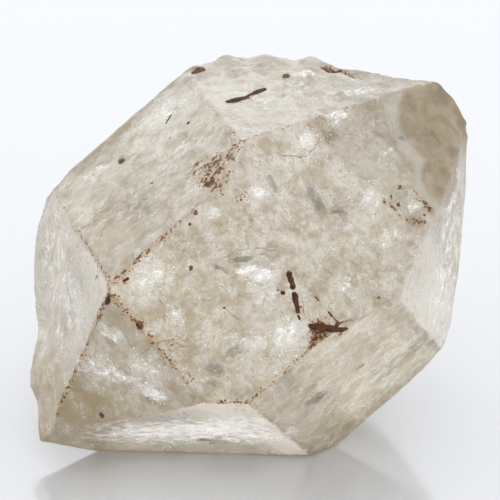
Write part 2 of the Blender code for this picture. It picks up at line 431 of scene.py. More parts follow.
# %% The finished mesh and the notch
NOTCH_FACE = "side0"
NOTCH_MM = ((4.25, 0.5), (6.3, 2.2), (5.35, -0.5))  # its three corners on that face
NOTCH_BOTTOM_MM = (5.0, 0.95)
NOTCH_DEPTH_MM = 0.85
NOTCH_REACH = 2.2  # how far the cutter runs on past the surface
WALLS_WITHIN_MM = 2.5  # the notch's walls lie this near its bottom,
WALLS_UNDER_MM = 0.12  # and this deep under the flat faces
WALL_EDGE_MM = 0.3  # longer edges of the walls are parted
WALL_CUTS = 5


def to_table(bm):
    """Moves a mesh made in mm about the crystal's middle to its place on the table, in metres."""
    bmesh.ops.translate(bm, vec=MIDDLE_MM, verts=bm.verts[:])
    bmesh.ops.scale(bm, vec=(MM, MM, MM), verts=bm.verts[:])


def add_object(name, bm):
    """Turns a bmesh into a named object in the scene."""
    mesh = bpy.data.meshes.new(name)
    bm.to_mesh(mesh)
    bm.free()
    item = bpy.data.objects.new(name, mesh)
    bpy.context.scene.collection.objects.link(item)
    return item


def inside_by(point):
    """How deep a point lies inside the flat crystal, in mm."""
    return min(distance - normal.dot(point) for normal, distance in FACES.values())


def part_notch_walls(item):
    """Gives the walls of the notch points of their own, so that rust can be kept there."""
    bm = bmesh.new()
    bm.from_mesh(item.data)
    middle = point_on(NOTCH_FACE, *NOTCH_BOTTOM_MM)
    walls = []
    for face in bm.faces:
        place = face.calc_center_median() / MM - MIDDLE_MM
        if (place - middle).length < WALLS_WITHIN_MM and inside_by(place) > WALLS_UNDER_MM:
            walls += [edge for edge in face.edges if edge.calc_length() > WALL_EDGE_MM * MM]
    bmesh.ops.subdivide_edges(bm, edges=list(set(walls)), cuts=WALL_CUTS, use_grid_fill=True)
    bmesh.ops.triangulate(bm, faces=bm.faces[:])
    bm.to_mesh(item.data)
    bm.free()


def cut_notch(item):
    """Cuts the notch from the crystal and keeps the result as its mesh."""
    normal = FACES[NOTCH_FACE][0]
    bottom = point_on(NOTCH_FACE, *NOTCH_BOTTOM_MM) - normal * NOTCH_DEPTH_MM
    bm = bmesh.new()
    bmesh.ops.create_vert(bm, co=bottom)
    for right, along in NOTCH_MM:
        mouth = point_on(NOTCH_FACE, right, along)
        bmesh.ops.create_vert(bm, co=bottom + (mouth - bottom) * NOTCH_REACH)
    bmesh.ops.convex_hull(bm, input=bm.verts[:])
    bmesh.ops.recalc_face_normals(bm, faces=bm.faces[:])
    to_table(bm)
    cutter = add_object("notch_cutter", bm)
    notch = item.modifiers.new("Notch", "BOOLEAN")
    notch.operation = "DIFFERENCE"
    notch.solver = "EXACT"
    notch.object = cutter
    bpy.context.view_layer.update()
    cut = item.evaluated_get(bpy.context.evaluated_depsgraph_get())
    whole, item.data = item.data, bpy.data.meshes.new_from_object(cut)
    item.modifiers.clear()
    bpy.data.meshes.remove(whole)
    bpy.data.objects.remove(cutter, do_unlink=True)
    part_notch_walls(item)


to_table(stone)
crystal = add_object("herkimer_diamond", stone)
cut_notch(crystal)
crystal.data.name = "herkimer_diamond"
print("finished mesh:", len(crystal.data.vertices), "points,", len(crystal.data.polygons), "faces")

# %% [markdown]
# ## Marks that the material will read
# Rust gathers on the edges between faces and round the pits. Some parts of the stone are milky
# and others are clear, and the tip at the upper right is smooth and smoky brown. Each kind of
# mark is a number kept at every point of the mesh, made from spots on the faces, rings, seams
# between two faces and lines between corners. The material breaks these soft marks up with
# fine noise, so that they end in grains and wisps.

# %% Corners and rusty edges
LEFT = ("side0", "side1", "lower0")
LEFT_LOW = ("side1", "lower0", "lower1")
TOP = ("side0", "side1", "upper0")
PEAK = ("side1", "upper1", "upper0")
FOOT = ("side0", "lower0", "lower5")
FOOT_RIGHT = ("side0", "side5", "lower5")
RIGHT = ("side0", "side5", "upper0")
LOW_TIP = ("lower0", "lower1", "lower5")
FAR_LEFT = ("side1", "lower1", "side2")
FAR_RIGHT = ("upper0", "upper1", "upper3")
REST_RIGHT = ("side5", "lower5", "lower4")

RUSTY_EDGES = (  # from corner, to corner, width in mm, strength at each end
    (LEFT, TOP, 0.30, 0.95, 0.42),
    (LEFT, LEFT_LOW, 0.30, 0.95, 0.95),
    (LEFT_LOW, LOW_TIP, 0.24, 0.90, 0.62),
    (LEFT_LOW, FAR_LEFT, 0.24, 0.80, 0.20),
    (LEFT, FOOT, 0.34, 0.95, 0.40),
    (FOOT, FOOT_RIGHT, 0.28, 0.62, 0.62),
    (FOOT_RIGHT, RIGHT, 0.26, 0.68, 0.46),
    (FOOT, LOW_TIP, 0.16, 0.46, 0.46),
    (FOOT_RIGHT, REST_RIGHT, 0.26, 0.44, 0.44),
    (TOP, PEAK, 0.34, 0.72, 0.55),
    (PEAK, FAR_RIGHT, 0.16, 0.50, 0.40),
)
RUSTY_SEAMS = (  # two faces of the back, width in mm, strength
    ("side3", "side2", 0.22, 0.85),
    ("side3", "upper3", 0.20, 0.75),
    ("side3", "lower3", 0.20, 0.75),
    ("side3", "side4", 0.20, 0.65),
    ("upper3", "upper4", 0.18, 0.60),
    ("lower3", "lower2", 0.18, 0.60),
)
print("rust on", len(RUSTY_EDGES), "edges and", len(RUSTY_SEAMS), "seams")

# %% Rust spots and rings
RUST_SPOTS = (  # face, right, along, radius in mm, strength
    ("side1", 4.2, 1.6, 0.62, 1.45),
    ("side1", 4.9, 1.6, 0.45, 1.00),
    ("side1", 3.5, 1.4, 0.50, 1.10),
    ("side1", 2.2, 1.1, 0.40, 1.00),
    ("side1", 1.8, 1.7, 0.30, 0.95),
    ("side1", 2.0, 2.2, 0.30, 0.80),
    ("side1", 3.9, 2.5, 0.55, 1.15),
    ("side1", 3.5, 3.2, 0.55, 0.98),
    ("side1", 3.0, 3.9, 0.55, 0.85),
    ("side1", 1.7, 4.2, 0.40, 0.58),
    ("side1", 3.1, 2.2, 1.30, 0.88),
    ("upper0", -3.3, -3.3, 0.60, 0.55),
    ("side0", -4.2, 1.6, 0.35, 0.60),
    ("side0", -4.3, -0.1, 0.22, 0.70),
    ("side0", -4.05, -0.7, 0.20, 0.70),
    ("lower0", -3.9, 0.0, 0.34, 1.30),
    ("side0", -4.04, -5.4, 0.26, 1.10),
    ("lower0", -2.7, 0.0, 0.36, 0.85),
    ("side0", -1.7, -6.45, 0.40, 0.95),
    ("side0", -0.8, -6.4, 0.34, 0.80),
    ("side0", 0.2, -5.9, 0.80, 0.44),
    ("side0", 2.3, -6.2, 0.40, 0.62),
    ("side0", 3.8, -6.0, 0.36, 0.74),
    ("side5", -4.7, -3.2, 0.34, 0.66),
    ("side0", 4.9, 0.9, 0.62, 1.30),
    ("side5", -4.6, 0.5, 0.45, 0.90),
    ("side5", -3.9, 1.6, 0.40, 0.90),
    ("side0", 2.0, 0.66, 0.30, 0.72),
    ("side0", 3.4, 1.0, 0.40, 0.60),
    ("upper0", 2.3, 4.2, 0.26, 0.90),
    ("upper0", 4.4, 6.2, 0.26, 0.90),
    ("upper0", 3.0, 4.5, 0.24, 0.75),
    ("upper0", 0.3, 0.2, 0.30, 0.50),
    ("upper0", 1.2, 1.4, 0.32, 0.60),
    ("upper0", 4.2, -3.3, 0.40, 0.55),
    ("upper0", 6.0, -0.7, 0.40, 0.58),
    ("side5", 1.3, 1.1, 0.26, 0.80),
    ("side5", -0.87, -1.6, 0.20, 0.66),
    ("upper5", 0.7, -1.3, 0.45, 0.50),
    ("lower0", 2.35, -1.94, 0.32, 0.60),
    ("lower0", 0.6, -3.3, 0.50, 0.46),
    ("lower1", 3.1, -0.3, 0.30, 0.80),
    ("lower1", -0.9, -0.3, 0.24, 0.75),
    ("lower1", 2.4, -3.9, 0.24, 0.60),
    ("upper1", -6.15, 7.0, 0.55, 1.50),
    ("upper1", -5.8, 7.6, 0.70, 1.70),
    ("upper1", -5.1, 8.05, 0.65, 1.60),
    ("upper1", -4.9, 3.7, 0.30, 1.10),
    ("upper1", -4.0, 4.0, 0.26, 0.60),
    ("upper1", -3.9, 8.6, 0.40, 0.60),
    ("upper1", -2.4, 8.7, 0.40, 0.55),
    ("upper1", -6.2, 0.8, 0.34, 0.55),
    ("upper1", -7.2, -0.8, 0.50, 0.75),
    ("upper3", 0.5, 2.0, 0.80, 0.95),
    ("side3", -1.5, 1.5, 0.90, 1.05),
    ("lower3", 1.5, -3.0, 0.70, 0.95),
)
RUST_RINGS = (  # face, right, along, radius, width, strength
    ("upper0", 3.35, 5.35, 1.05, 0.22, 0.80),
    ("upper1", -4.3, 4.8, 0.75, 0.14, 0.55),
)
RING_WOBBLE, RING_WOBBLE_PER_MM = 0.5, 1.3
SOLID_RUST = 1.6  # the most that a rust mark can be
RUST_IN_NOTCH_MM = 1.8  # this near the notch's bottom its walls are solid rust,
UNDER_SKIN_MM = 0.05  # where they lie this deep under the flat faces
print("rust in", len(RUST_SPOTS), "spots and", len(RUST_RINGS), "rings")

# %% Milky, grey and smoky parts
MILK = {  # how milky each face is
    "upper1": 0.76,
    "upper5": 1.00,
    "lower5": 1.00,
    "lower1": 0.84,
    "side5": 0.36,
    "side1": 0.42,
    "side0": 0.44,
    "upper0": 0.44,
    "lower0": 0.50,
}
PLAIN_MILK = 0.5
MILK_SPOTS = (  # face, right, along, radius in mm, how much milkier
    ("side1", -5.2, 2.0, 2.2, 0.34),
    ("side1", -4.2, -4.2, 1.6, 0.18),
    ("side1", 0.8, -3.6, 2.6, -0.14),
    ("lower1", 0.3, -10.0, 3.8, -1.00),
    ("lower1", 2.1, -3.5, 0.9, 0.35),
    ("lower0", 0.35, -1.2, 1.0, 0.50),
    ("lower0", -1.2, -4.2, 0.9, 0.35),
    ("lower0", 1.6, -2.0, 0.6, 0.45),
    ("lower0", 0.6, -7.6, 2.4, -0.46),
    ("lower5", 0.7, -11.0, 2.6, -0.80),
    ("lower5", 3.1, -6.2, 0.9, -0.50),
    ("lower5", 1.55, -3.0, 0.5, -0.60),
    ("side5", 7.0, 0.0, 1.2, -0.30),
    ("side5", 5.5, -2.8, 1.2, -0.30),
    ("upper0", -3.0, 6.3, 0.8, 0.50),
    ("upper0", -3.4, 2.6, 0.9, 0.45),
    ("upper0", -2.4, 4.2, 0.7, -0.25),
    ("upper0", -2.5, -1.6, 0.9, 0.36),
    ("upper0", 1.5, 3.4, 1.0, 0.34),
    ("upper0", 3.6, 5.6, 0.6, 0.40),
    ("upper0", 0.5, 5.0, 2.4, 0.26),
    ("side0", 0.0, 0.1, 0.32, 0.90),
    ("side0", 0.5, 0.4, 0.34, 0.90),
    ("side0", 1.1, 0.6, 0.36, 0.70),
    ("side0", -3.2, -3.9, 0.80, 0.45),
    ("side0", 4.0, -0.9, 0.90, 0.45),
    ("side0", 3.1, -2.6, 0.60, 0.40),
    ("side0", -0.8, -4.9, 0.50, 0.30),
    ("side0", 0.2, -5.6, 2.4, -0.34),
    ("side0", -3.4, -1.8, 0.80, -0.24),
)
MILK_RIMS = (  # two faces, reach in mm from the edge between them, how much milkier
    ("side1", "side2", 0.55, -0.60),
    ("side5", "side4", 0.45, -0.55),
    ("lower5", "lower4", 0.35, -0.50),
    ("side5", "lower4", 0.40, -0.50),
)
# Grey spots darken the skin. Most lie under the shade lenses, at the far side of cracks and dents,
# and there they are painted shade.
GREY_AND_SHADE_SPOTS = (  # face, right, along, radius in mm, strength
    ("side0", 2.8, -4.8, 0.60, 0.70),
    ("side0", 2.9, -3.4, 0.45, 0.60),
    ("side5", 0.9, -1.9, 0.60, 0.60),
    ("side5", 2.6, 1.0, 3.20, 0.20),
    ("side5", 4.6, 1.8, 0.70, 0.60),
    ("side5", 4.2, 4.2, 0.80, 0.50),
    ("upper0", -1.0, 0.9, 0.40, 0.80),
    ("upper0", 0.0, 0.3, 0.40, 0.95),
    ("upper0", 0.9, 1.0, 0.30, 0.60),
    ("upper0", -3.2, -0.8, 0.36, 0.70),
    ("upper0", -2.4, -1.1, 0.36, 0.60),
    ("upper0", -2.3, 4.0, 0.40, 0.50),
    ("upper0", 0.3, 8.1, 0.22, 0.80),
    ("side1", -4.5, -1.4, 0.28, 0.50),
    ("side1", 0.9, -2.2, 0.80, 0.40),
    ("side1", -1.6, 1.9, 0.50, 0.35),
    ("side0", -1.0, -0.2, 0.18, 1.00),
    ("side0", -0.7, 0.2, 0.18, 1.00),
    ("side0", -0.4, 0.6, 0.16, 1.00),
    ("side0", -1.3, -1.1, 0.17, 0.90),
    ("side0", -0.8, -0.9, 0.16, 0.90),
    ("lower5", 1.5, -3.0, 0.45, 0.60),
    ("lower0", 1.9, -2.6, 0.50, 0.45),
)
SMOKY_SPOTS = (  # where the stone is clear, smooth and brown: face, right, along, radius
    ("upper0", 1.2, 11.0, 3.5),
    ("upper0", 3.9, 8.5, 2.1),
    ("upper3", -1.0, 11.0, 3.0),
)
SMOKY_EDGE = 4  # how sharply the smoky part ends
MARK_END = 3.0  # a soft mark has faded out this many radii from its centre
print("milk:", len(MILK_SPOTS), "spots, grey:", len(GREY_AND_SHADE_SPOTS), "spots")


# %% The marks at a point
def marked_spots(spots):
    """Spots with their places worked out: centre, and whatever else the spot has."""
    return [(point_on(face, right, along), *rest) for face, right, along, *rest in spots]


def spots_on_relief(spots):
    """The same, with each centre on the rough surface instead of on the flat face."""
    return [
        (lifted(point_on(face, right, along), FACES[face][0]), *rest)
        for face, right, along, *rest in spots
    ]


def distance_to_line(point, start, end):
    """Distance from a point to the nearest point of a line, and how far along the line that is."""
    line = end - start
    share = min(1.0, max(0.0, (point - start).dot(line) / line.length_squared))
    return (point - start - line * share).length, share


def nearest_face(point):
    """The name of the crystal face that a point lies on."""
    return max(FACES, key=lambda name: FACES[name][0].dot(point) - FACES[name][1])


def strongest(point, spots):
    """The strongest soft spot at a point."""
    found = 0.0
    for centre, radius, strength in spots:
        away = (point - centre).length / radius
        if away < MARK_END:
            found = max(found, strength * math.exp(-(away**2)))
    return found


def rust_at(point):
    """How rusty the surface is at a point: 1 is dense grains, and more is solid rust."""
    rust = strongest(point, RUST_CENTRES)
    for first, last, width, near, far in RUST_PATHS:
        away, share = distance_to_line(point, first, last)
        if away < MARK_END * width:
            strength = near + (far - near) * share
            rust = max(rust, strength * math.exp(-((away / width) ** 2)))
    for first, second, width, strength in RUSTY_SEAMS:
        rust = max(rust, strength * math.exp(-edge_distance(point, first, second) / width**2))
    for centre, radius, width, strength in RUST_CIRCLES:
        away = (point - centre).length
        wobble = 1 + RING_WOBBLE * noise.noise(point * RING_WOBBLE_PER_MM)
        away = (away - radius * wobble) / width
        if abs(away) < MARK_END:
            rust = max(rust, strength * math.exp(-(away**2)))
    if (point - NOTCH_MIDDLE).length < RUST_IN_NOTCH_MM and inside_by(point) > UNDER_SKIN_MM:
        return SOLID_RUST
    return min(SOLID_RUST, rust)


def milk_at(point):
    """How milky the stone is at a point, from 0 to 1."""
    milk = MILK.get(nearest_face(point), PLAIN_MILK)
    for centre, radius, change in MILK_CENTRES:
        away = (point - centre).length / radius
        if away < MARK_END:
            milk += change * math.exp(-(away**2))
    for first, second, reach, change in MILK_RIMS:
        milk += change * math.exp(-edge_distance(point, first, second) / reach**2)
    return min(1.0, max(0.0, milk))


def smoky_at(point):
    """How clear and brown the stone is at a point, from 0 to 1."""
    nearest = min((point - centre).length / radius for centre, radius in SMOKY_CENTRES)
    return math.exp(-(nearest**SMOKY_EDGE))


print("a point near the upper tip lies on", nearest_face(point_on("upper0", 1.2, 11.0)))

# %% Keep the marks in the mesh
NOTCH_MIDDLE = point_on(NOTCH_FACE, *NOTCH_BOTTOM_MM)
RUST_PATHS = [(corner_of(*a), corner_of(*b), w, s, t) for a, b, w, s, t in RUSTY_EDGES]
RUST_CENTRES = spots_on_relief(RUST_SPOTS)
RUST_CIRCLES = marked_spots(RUST_RINGS)
MILK_CENTRES = marked_spots(MILK_SPOTS)
GREY_AND_SHADE_CENTRES = marked_spots(GREY_AND_SHADE_SPOTS)
SMOKY_CENTRES = marked_spots(SMOKY_SPOTS)


def keep_mark(item, name, value_at):
    """Stores a number for every point of a finished piece, from its place about the middle."""
    mark = item.data.attributes.new(name, "FLOAT", "POINT")
    values = [value_at(vert.co / MM - MIDDLE_MM) for vert in item.data.vertices]
    mark.data.foreach_set("value", values)
    print(name, "mark: mean", round(sum(values) / len(values), 3))


keep_mark(crystal, "rust", rust_at)
keep_mark(crystal, "milk", milk_at)
keep_mark(crystal, "grey", lambda point: strongest(point, GREY_AND_SHADE_CENTRES))
keep_mark(crystal, "smoky", smoky_at)

# %% [markdown]
# ## The way the streaks run
# Fine scratches and growth lines run one way on each face, and another way on the next. So
# the mesh keeps, at every corner of every triangle, a place in mm measured across and along
# the streaks of its own face. Noise that is squeezed along that second direction makes
# streaks, and they turn at the edges of the crystal as they do on the stone.

# %% Streak directions
STREAK_HEADING_DEG = {  # from the right-hand direction of the face
    "side0": 70.0,
    "side1": 68.0,
    "side5": 62.0,
    "upper0": 84.0,
    "upper1": 98.0,
    "upper5": -73.0,
    "lower0": 36.0,
    "lower1": -36.0,
    "lower5": 85.0,
}
PLAIN_HEADING_DEG = 70.0
FACE_STEP_MM = 37.0  # keeps the noise of one face from running on into the next


def keep_streak_places(item):
    """Stores a place across and along the streaks for every corner of the mesh."""
    ways = []
    for number, (name, (normal, distance)) in enumerate(FACES.items()):
        right, along = directions_on(normal)
        angle = math.radians(STREAK_HEADING_DEG.get(name, PLAIN_HEADING_DEG))
        ahead = right * math.cos(angle) + along * math.sin(angle)
        ways.append((normal, ahead.cross(normal), ahead, FACE_STEP_MM * number))
    values = []
    points = [vert.co / MM - MIDDLE_MM for vert in item.data.vertices]
    for polygon in item.data.polygons:
        normal, across, ahead, step = max(ways, key=lambda way: way[0].dot(polygon.normal))
        for index in polygon.vertices:
            point = points[index]
            values += (point.dot(across), point.dot(ahead), step)
    kept = item.data.attributes.new("streak_place", "FLOAT_VECTOR", "CORNER")
    kept.data.foreach_set("vector", values)


keep_streak_places(crystal)
print("streak places on", len(crystal.data.loops), "corners")

# %% [markdown]
# ## Helpers for node materials
# A material is a chain of small steps. These helpers add one step each and return what it
# puts out, so that a material reads from top to bottom like a recipe. Patterns are measured
# in mm on the stone itself, so that the same grain runs over every piece. Most of them are
# patches of noise, with a level where a patch begins and one where it is full. These numbers
# stand together in one table, because they are what gets changed most while looking.

# %% Patterns: patches per mm, detail, roughness, the two levels, least and most
PATCHES = {
    "clear and etched skin": (1.1, 6, 0.7, 0.40, 0.64, 0.10, 0.28),
    "dark grains": (8.0, 1, 0.6, 0.56, 0.72, 0.0, 0.6),
    "grey blotches": (0.42, 3, 0.6, 0.58, 0.74, 0.0, 0.4),
    "gaps in the blotches": (1.9, 4, 0.65, 0.34, 0.60, 0.0, 1.0),
    "gaps in the cracks": (1.1, 3, 0.6, 0.50, 0.60, 0.0, 1.0),
    "white flecks and painted glints": (7.0, 0, 0.6, 0.62, 0.70, 0.0, 1.0),
    "crushed skin and painted glints": (2.3, 5, 0.78, 0.56, 0.66, 0.0, 0.75),
    "reach of the rust dots": (1.6, 4, 0.7, 0.34, 0.64, 0.32, 0.86),
    "tones of veils and frost": (3.0, 4, 0.7, 0.35, 0.65, 0.0, 1.0),
    "tones of the chips": (5.0, 2, 0.6, 0.35, 0.65, 0.0, 1.0),
    "tones of the glitter": (6.0, 2, 0.6, 0.3, 0.7, 0.0, 1.0),
    "haze of the table": (0.02, 3, 0.6, 0.3, 0.7, 0.10, 0.16),
}
CLOUDS = (1.1, 6, 0.72, 0.3)  # per mm, detail, roughness, distortion
STREAK_NOISE = (6, 0.68, 0.35)  # detail, roughness, distortion
CRUMB_NOISE = (3, 0.7)  # detail, roughness
CRUMB_LEVELS = (0.36, 0.66)
print("patterns:", ", ".join(PATCHES))


# %% Helpers for node materials
def new_material(name):
    """An empty node material with its Principled shader."""
    material = bpy.data.materials.new(name)
    material.use_nodes = True
    return material, material.node_tree, material.node_tree.nodes["Principled BSDF"]


def feed(tree, socket, value):
    """Links a socket to another node's output, or sets its value."""
    if isinstance(value, bpy.types.NodeSocket):
        tree.links.new(value, socket)
    else:
        socket.default_value = value


def millimetres(tree):
    """Places on the piece, in mm."""
    place = tree.nodes.new("ShaderNodeTexCoord")
    scaled = tree.nodes.new("ShaderNodeMapping")
    scaled.inputs["Scale"].default_value = (1 / MM, 1 / MM, 1 / MM)
    tree.links.new(place.outputs["Object"], scaled.inputs["Vector"])
    return scaled.outputs["Vector"]


def mark(tree, name, output="Fac"):
    """One of the numbers or places kept in the mesh."""
    node = tree.nodes.new("ShaderNodeAttribute")
    node.attribute_name = name
    return node.outputs[output]


def grain(tree, vector, per_mm, detail=4.0, roughness=0.6, distortion=0.0):
    """Noise of so many blotches per mm, around 0.5."""
    node = tree.nodes.new("ShaderNodeTexNoise")
    feed(tree, node.inputs["Vector"], vector)
    feed(tree, node.inputs["Scale"], per_mm)
    node.inputs["Detail"].default_value = detail
    node.inputs["Roughness"].default_value = roughness
    node.inputs["Distortion"].default_value = distortion
    return node.outputs["Fac"]


def fitted(tree, value, low, high, to_low=0.0, to_high=1.0):
    """Stretches a value from one range to another, and holds it inside."""
    node = tree.nodes.new("ShaderNodeMapRange")
    node.interpolation_type = "SMOOTHSTEP"
    feed(tree, node.inputs["Value"], value)
    node.inputs["From Min"].default_value = low
    node.inputs["From Max"].default_value = high
    node.inputs["To Min"].default_value = to_low
    node.inputs["To Max"].default_value = to_high
    return node.outputs["Result"]


def maths(tree, operation, first, second):
    """One sum of two values."""
    node = tree.nodes.new("ShaderNodeMath")
    node.operation = operation
    feed(tree, node.inputs[0], first)
    feed(tree, node.inputs[1], second)
    return node.outputs["Value"]


def patches(tree, at, name):
    """One of the patterns of patches: least below the first level, most above the second."""
    per_mm, detail, roughness, begins, full, least, most = PATCHES[name]
    return fitted(tree, grain(tree, at, per_mm, detail, roughness), begins, full, least, most)


def mixed(tree, share, first, second):
    """A colour between two colours."""
    node = tree.nodes.new("ShaderNodeMix")
    node.data_type = "RGBA"
    feed(tree, node.inputs["Factor"], share)
    feed(tree, node.inputs["A"], first)
    feed(tree, node.inputs["B"], second)
    return node.outputs["Result"]


def bumped(tree, height, depth_mm, strength=1.0):
    """A normal tilted by a height pattern."""
    node = tree.nodes.new("ShaderNodeBump")
    node.inputs["Distance"].default_value = depth_mm * MM
    node.inputs["Strength"].default_value = strength
    feed(tree, node.inputs["Height"], height)
    return node.outputs["Normal"]


print("node helpers ready")

# %% [markdown]
# ## Two effects that several materials share
# Streaks show on the skin of the quartz and in the veils under it. Crumbs, the clotted grain
# of rust and dark matter, show in the rust, the rods and the specks. Each is a node group with
# named inputs, so that every material gets it from one place.


# %% Shared node groups
def new_group(name, inputs, output):
    """An empty node group with one value as its output."""
    group = bpy.data.node_groups.new(name, "ShaderNodeTree")
    for title, kind in inputs:
        group.interface.new_socket(title, in_out="INPUT", socket_type=kind)
    group.interface.new_socket(output, in_out="OUTPUT", socket_type="NodeSocketFloat")
    return group, group.nodes.new("NodeGroupInput"), group.nodes.new("NodeGroupOutput")


def make_streaks():
    """Noise drawn out along the second direction of a place, around 0.5."""
    inputs = (
        ("Place", "NodeSocketVector"),
        ("Per mm", "NodeSocketFloat"),
        ("Squeeze", "NodeSocketFloat"),
    )
    group, given, result = new_group("streaks", inputs, "Value")
    shape = group.nodes.new("ShaderNodeCombineXYZ")
    shape.inputs["X"].default_value = 1.0
    shape.inputs["Z"].default_value = 1.0
    group.links.new(given.outputs["Squeeze"], shape.inputs["Y"])
    drawn_out = group.nodes.new("ShaderNodeVectorMath")
    drawn_out.operation = "MULTIPLY"
    group.links.new(given.outputs["Place"], drawn_out.inputs[0])
    group.links.new(shape.outputs["Vector"], drawn_out.inputs[1])
    value = grain(group, drawn_out.outputs["Vector"], given.outputs["Per mm"], *STREAK_NOISE)
    group.links.new(value, result.inputs["Value"])
    return group


def make_crumbs():
    """Clotted grain, from 0 between the crumbs to 1 in them."""
    inputs = (("Place", "NodeSocketVector"), ("Per mm", "NodeSocketFloat"))
    group, given, result = new_group("crumbs", inputs, "Share")
    value = grain(group, given.outputs["Place"], given.outputs["Per mm"], *CRUMB_NOISE)
    group.links.new(fitted(group, value, *CRUMB_LEVELS), result.inputs["Share"])
    return group


STREAKS = make_streaks()
CRUMBS = make_crumbs()


def from_group(tree, group, **inputs):
    """Adds a node group to a material and returns what it puts out."""
    node = tree.nodes.new("ShaderNodeGroup")
    node.node_tree = group
    for title, value in inputs.items():
        feed(tree, node.inputs[title.replace("_", " ")], value)
    return node.outputs[0]


print("shared groups:", STREAKS.name, "and", CRUMBS.name)

# %% [markdown]
# ## The quartz
# Quartz is clear: most light goes through, bends by 1.544, and is browned a little on its
# way. What makes this stone look like stone and not like window glass is its skin, etched,
# scratched and dusty. The skin runs from a warm clear tone to white where the stone is milky,
# with fine dark grains, white flecks, soft grey blotches and hairline cracks over it. Rust
# lies in round dark grains with a soft brown halo. The grains grow, and at last touch, where
# the rust mark is strong.

# %% Tones of the quartz
WARM_TONE = (0.42, 0.33, 0.175, 1)
MILKY_TONE = (1.0, 0.98, 0.92, 1)
GRAIN_TONE = (0.30, 0.235, 0.14, 1)
GREY_AND_SHADE_TONE = (0.27, 0.275, 0.245, 1)
CRACK_TONE = (0.24, 0.165, 0.08, 1)
SMOKY_TONE = (0.37, 0.285, 0.17, 1)
SMOKY_LIGHT = (0.58, 0.475, 0.32, 1)
WHITE_TONE = (1.0, 1.0, 1.0, 1)
RUST_DARK = (0.050, 0.011, 0.002, 1)
RUST_LIGHT = (0.28, 0.095, 0.020, 1)
RUST_HALO = (0.56, 0.33, 0.14, 1)
BROWNING_TONE = (0.86, 0.785, 0.645, 1)
print("warm tone", WARM_TONE[:3], "and milky tone", MILKY_TONE[:3])

# %% Measures of the quartz
QUARTZ_BENDING = 1.544
SEEN_THROUGH = 0.74  # share of the light that goes on into the stone
BROWNING_DENSITY = 33.0  # per metre
SKIN_STREAKS_PER_MM, SKIN_SQUEEZE = 1.6, 0.28
STREAK_STIR, CLOUD_STIR = 0.85, 2.7  # how much streaks and clouds add to the milk mark
MILK_LEVELS = (-0.2, 1.0)
BLOTCH_COVER, CRACK_COVER = 0.8, 0.5
# Flecks and crushed skin are partly white crushed quartz and partly painted glints.
FLECK_CLOUDS = (0.46, 0.58)  # levels of the clouds that hold flecks,
CRUSHED_CLOUDS = (0.42, 0.56)  # crushed skin,
SMOKE_CLOUDS = (0.40, 0.60)  # and light smoke
SMOKY_BORDER = (0.19, 0.25, 0.0, 0.5)  # two levels, least and most
HALO_LEVELS = (0.15, 1.2, 0.0, 0.85)  # the same, for the rust mark
RUST_CRUMBS_PER_MM = 3.2
DEEP_RUST_LEVELS = (0.85, 1.85)
DOTS_PER_MM = 5.4
DOT_RIM = (-0.05, 0.06)
CRACK_BENDS_PER_MM, CRACKS_PER_MM = 0.8, 0.6
CRACK_RIM = (0.004, 0.03, 1.0, 0.0)  # full on the line between two cells, and then fades
SMOKY_SHEEN = 0.10  # how much smoother the smoky part is
LEAST_ROUGHNESS, RUST_ROUGHNESS = 0.05, 0.5
ETCHED_GRAIN = (3.0, 5, 0.7)  # per mm, detail, roughness
STREAK_RELIEF, RUST_RELIEF = 0.8, 0.5
SKIN_RELIEF_MM, SKIN_RELIEF_STRENGTH = 0.06, 0.4
SHARP_OVER_DEG = 50
print("quartz bends light by", QUARTZ_BENDING)


# %% Cracks and rust grains
def crack_lines(tree, at):
    """Broken hairlines between uneven cells, from 0 to 1."""
    bent = tree.nodes.new("ShaderNodeTexNoise")
    feed(tree, bent.inputs["Vector"], at)
    bent.inputs["Scale"].default_value = CRACK_BENDS_PER_MM
    added = tree.nodes.new("ShaderNodeVectorMath")
    added.operation = "ADD"
    tree.links.new(at, added.inputs[0])
    tree.links.new(bent.outputs["Color"], added.inputs[1])
    cells = tree.nodes.new("ShaderNodeTexVoronoi")
    cells.feature = "DISTANCE_TO_EDGE"
    cells.inputs["Scale"].default_value = CRACKS_PER_MM
    tree.links.new(added.outputs["Vector"], cells.inputs["Vector"])
    line = fitted(tree, cells.outputs["Distance"], *CRACK_RIM)
    return maths(tree, "MULTIPLY", line, patches(tree, at, "gaps in the cracks"))


def rust_dots(tree, at):
    """Rust in round grains that grow, and at last touch, where the rust mark is strong."""
    cells = tree.nodes.new("ShaderNodeTexVoronoi")
    cells.inputs["Scale"].default_value = DOTS_PER_MM
    tree.links.new(at, cells.inputs["Vector"])
    patchy = patches(tree, at, "reach of the rust dots")
    reach = maths(tree, "MULTIPLY", mark(tree, "rust"), patchy)
    beyond = maths(tree, "SUBTRACT", reach, cells.outputs["Distance"])
    return fitted(tree, beyond, *DOT_RIM)


print("cracks and rust grains ready")


# %% Tone of the skin, layer over layer
def stirred(tree, pattern, strength):
    """How far a pattern is above or below its middle, made stronger or weaker."""
    return maths(tree, "MULTIPLY", maths(tree, "SUBTRACT", pattern, 0.5), strength)


def milky_tone(tree, at, streaks, clouds):
    """From warm and clear to milky white, with fine dark grains."""
    by_streaks = stirred(tree, streaks, STREAK_STIR)
    stir = maths(tree, "ADD", by_streaks, stirred(tree, clouds, CLOUD_STIR))
    milk = fitted(tree, maths(tree, "ADD", mark(tree, "milk"), stir), *MILK_LEVELS)
    tone = mixed(tree, milk, WARM_TONE, MILKY_TONE)
    return mixed(tree, patches(tree, at, "dark grains"), tone, GRAIN_TONE)


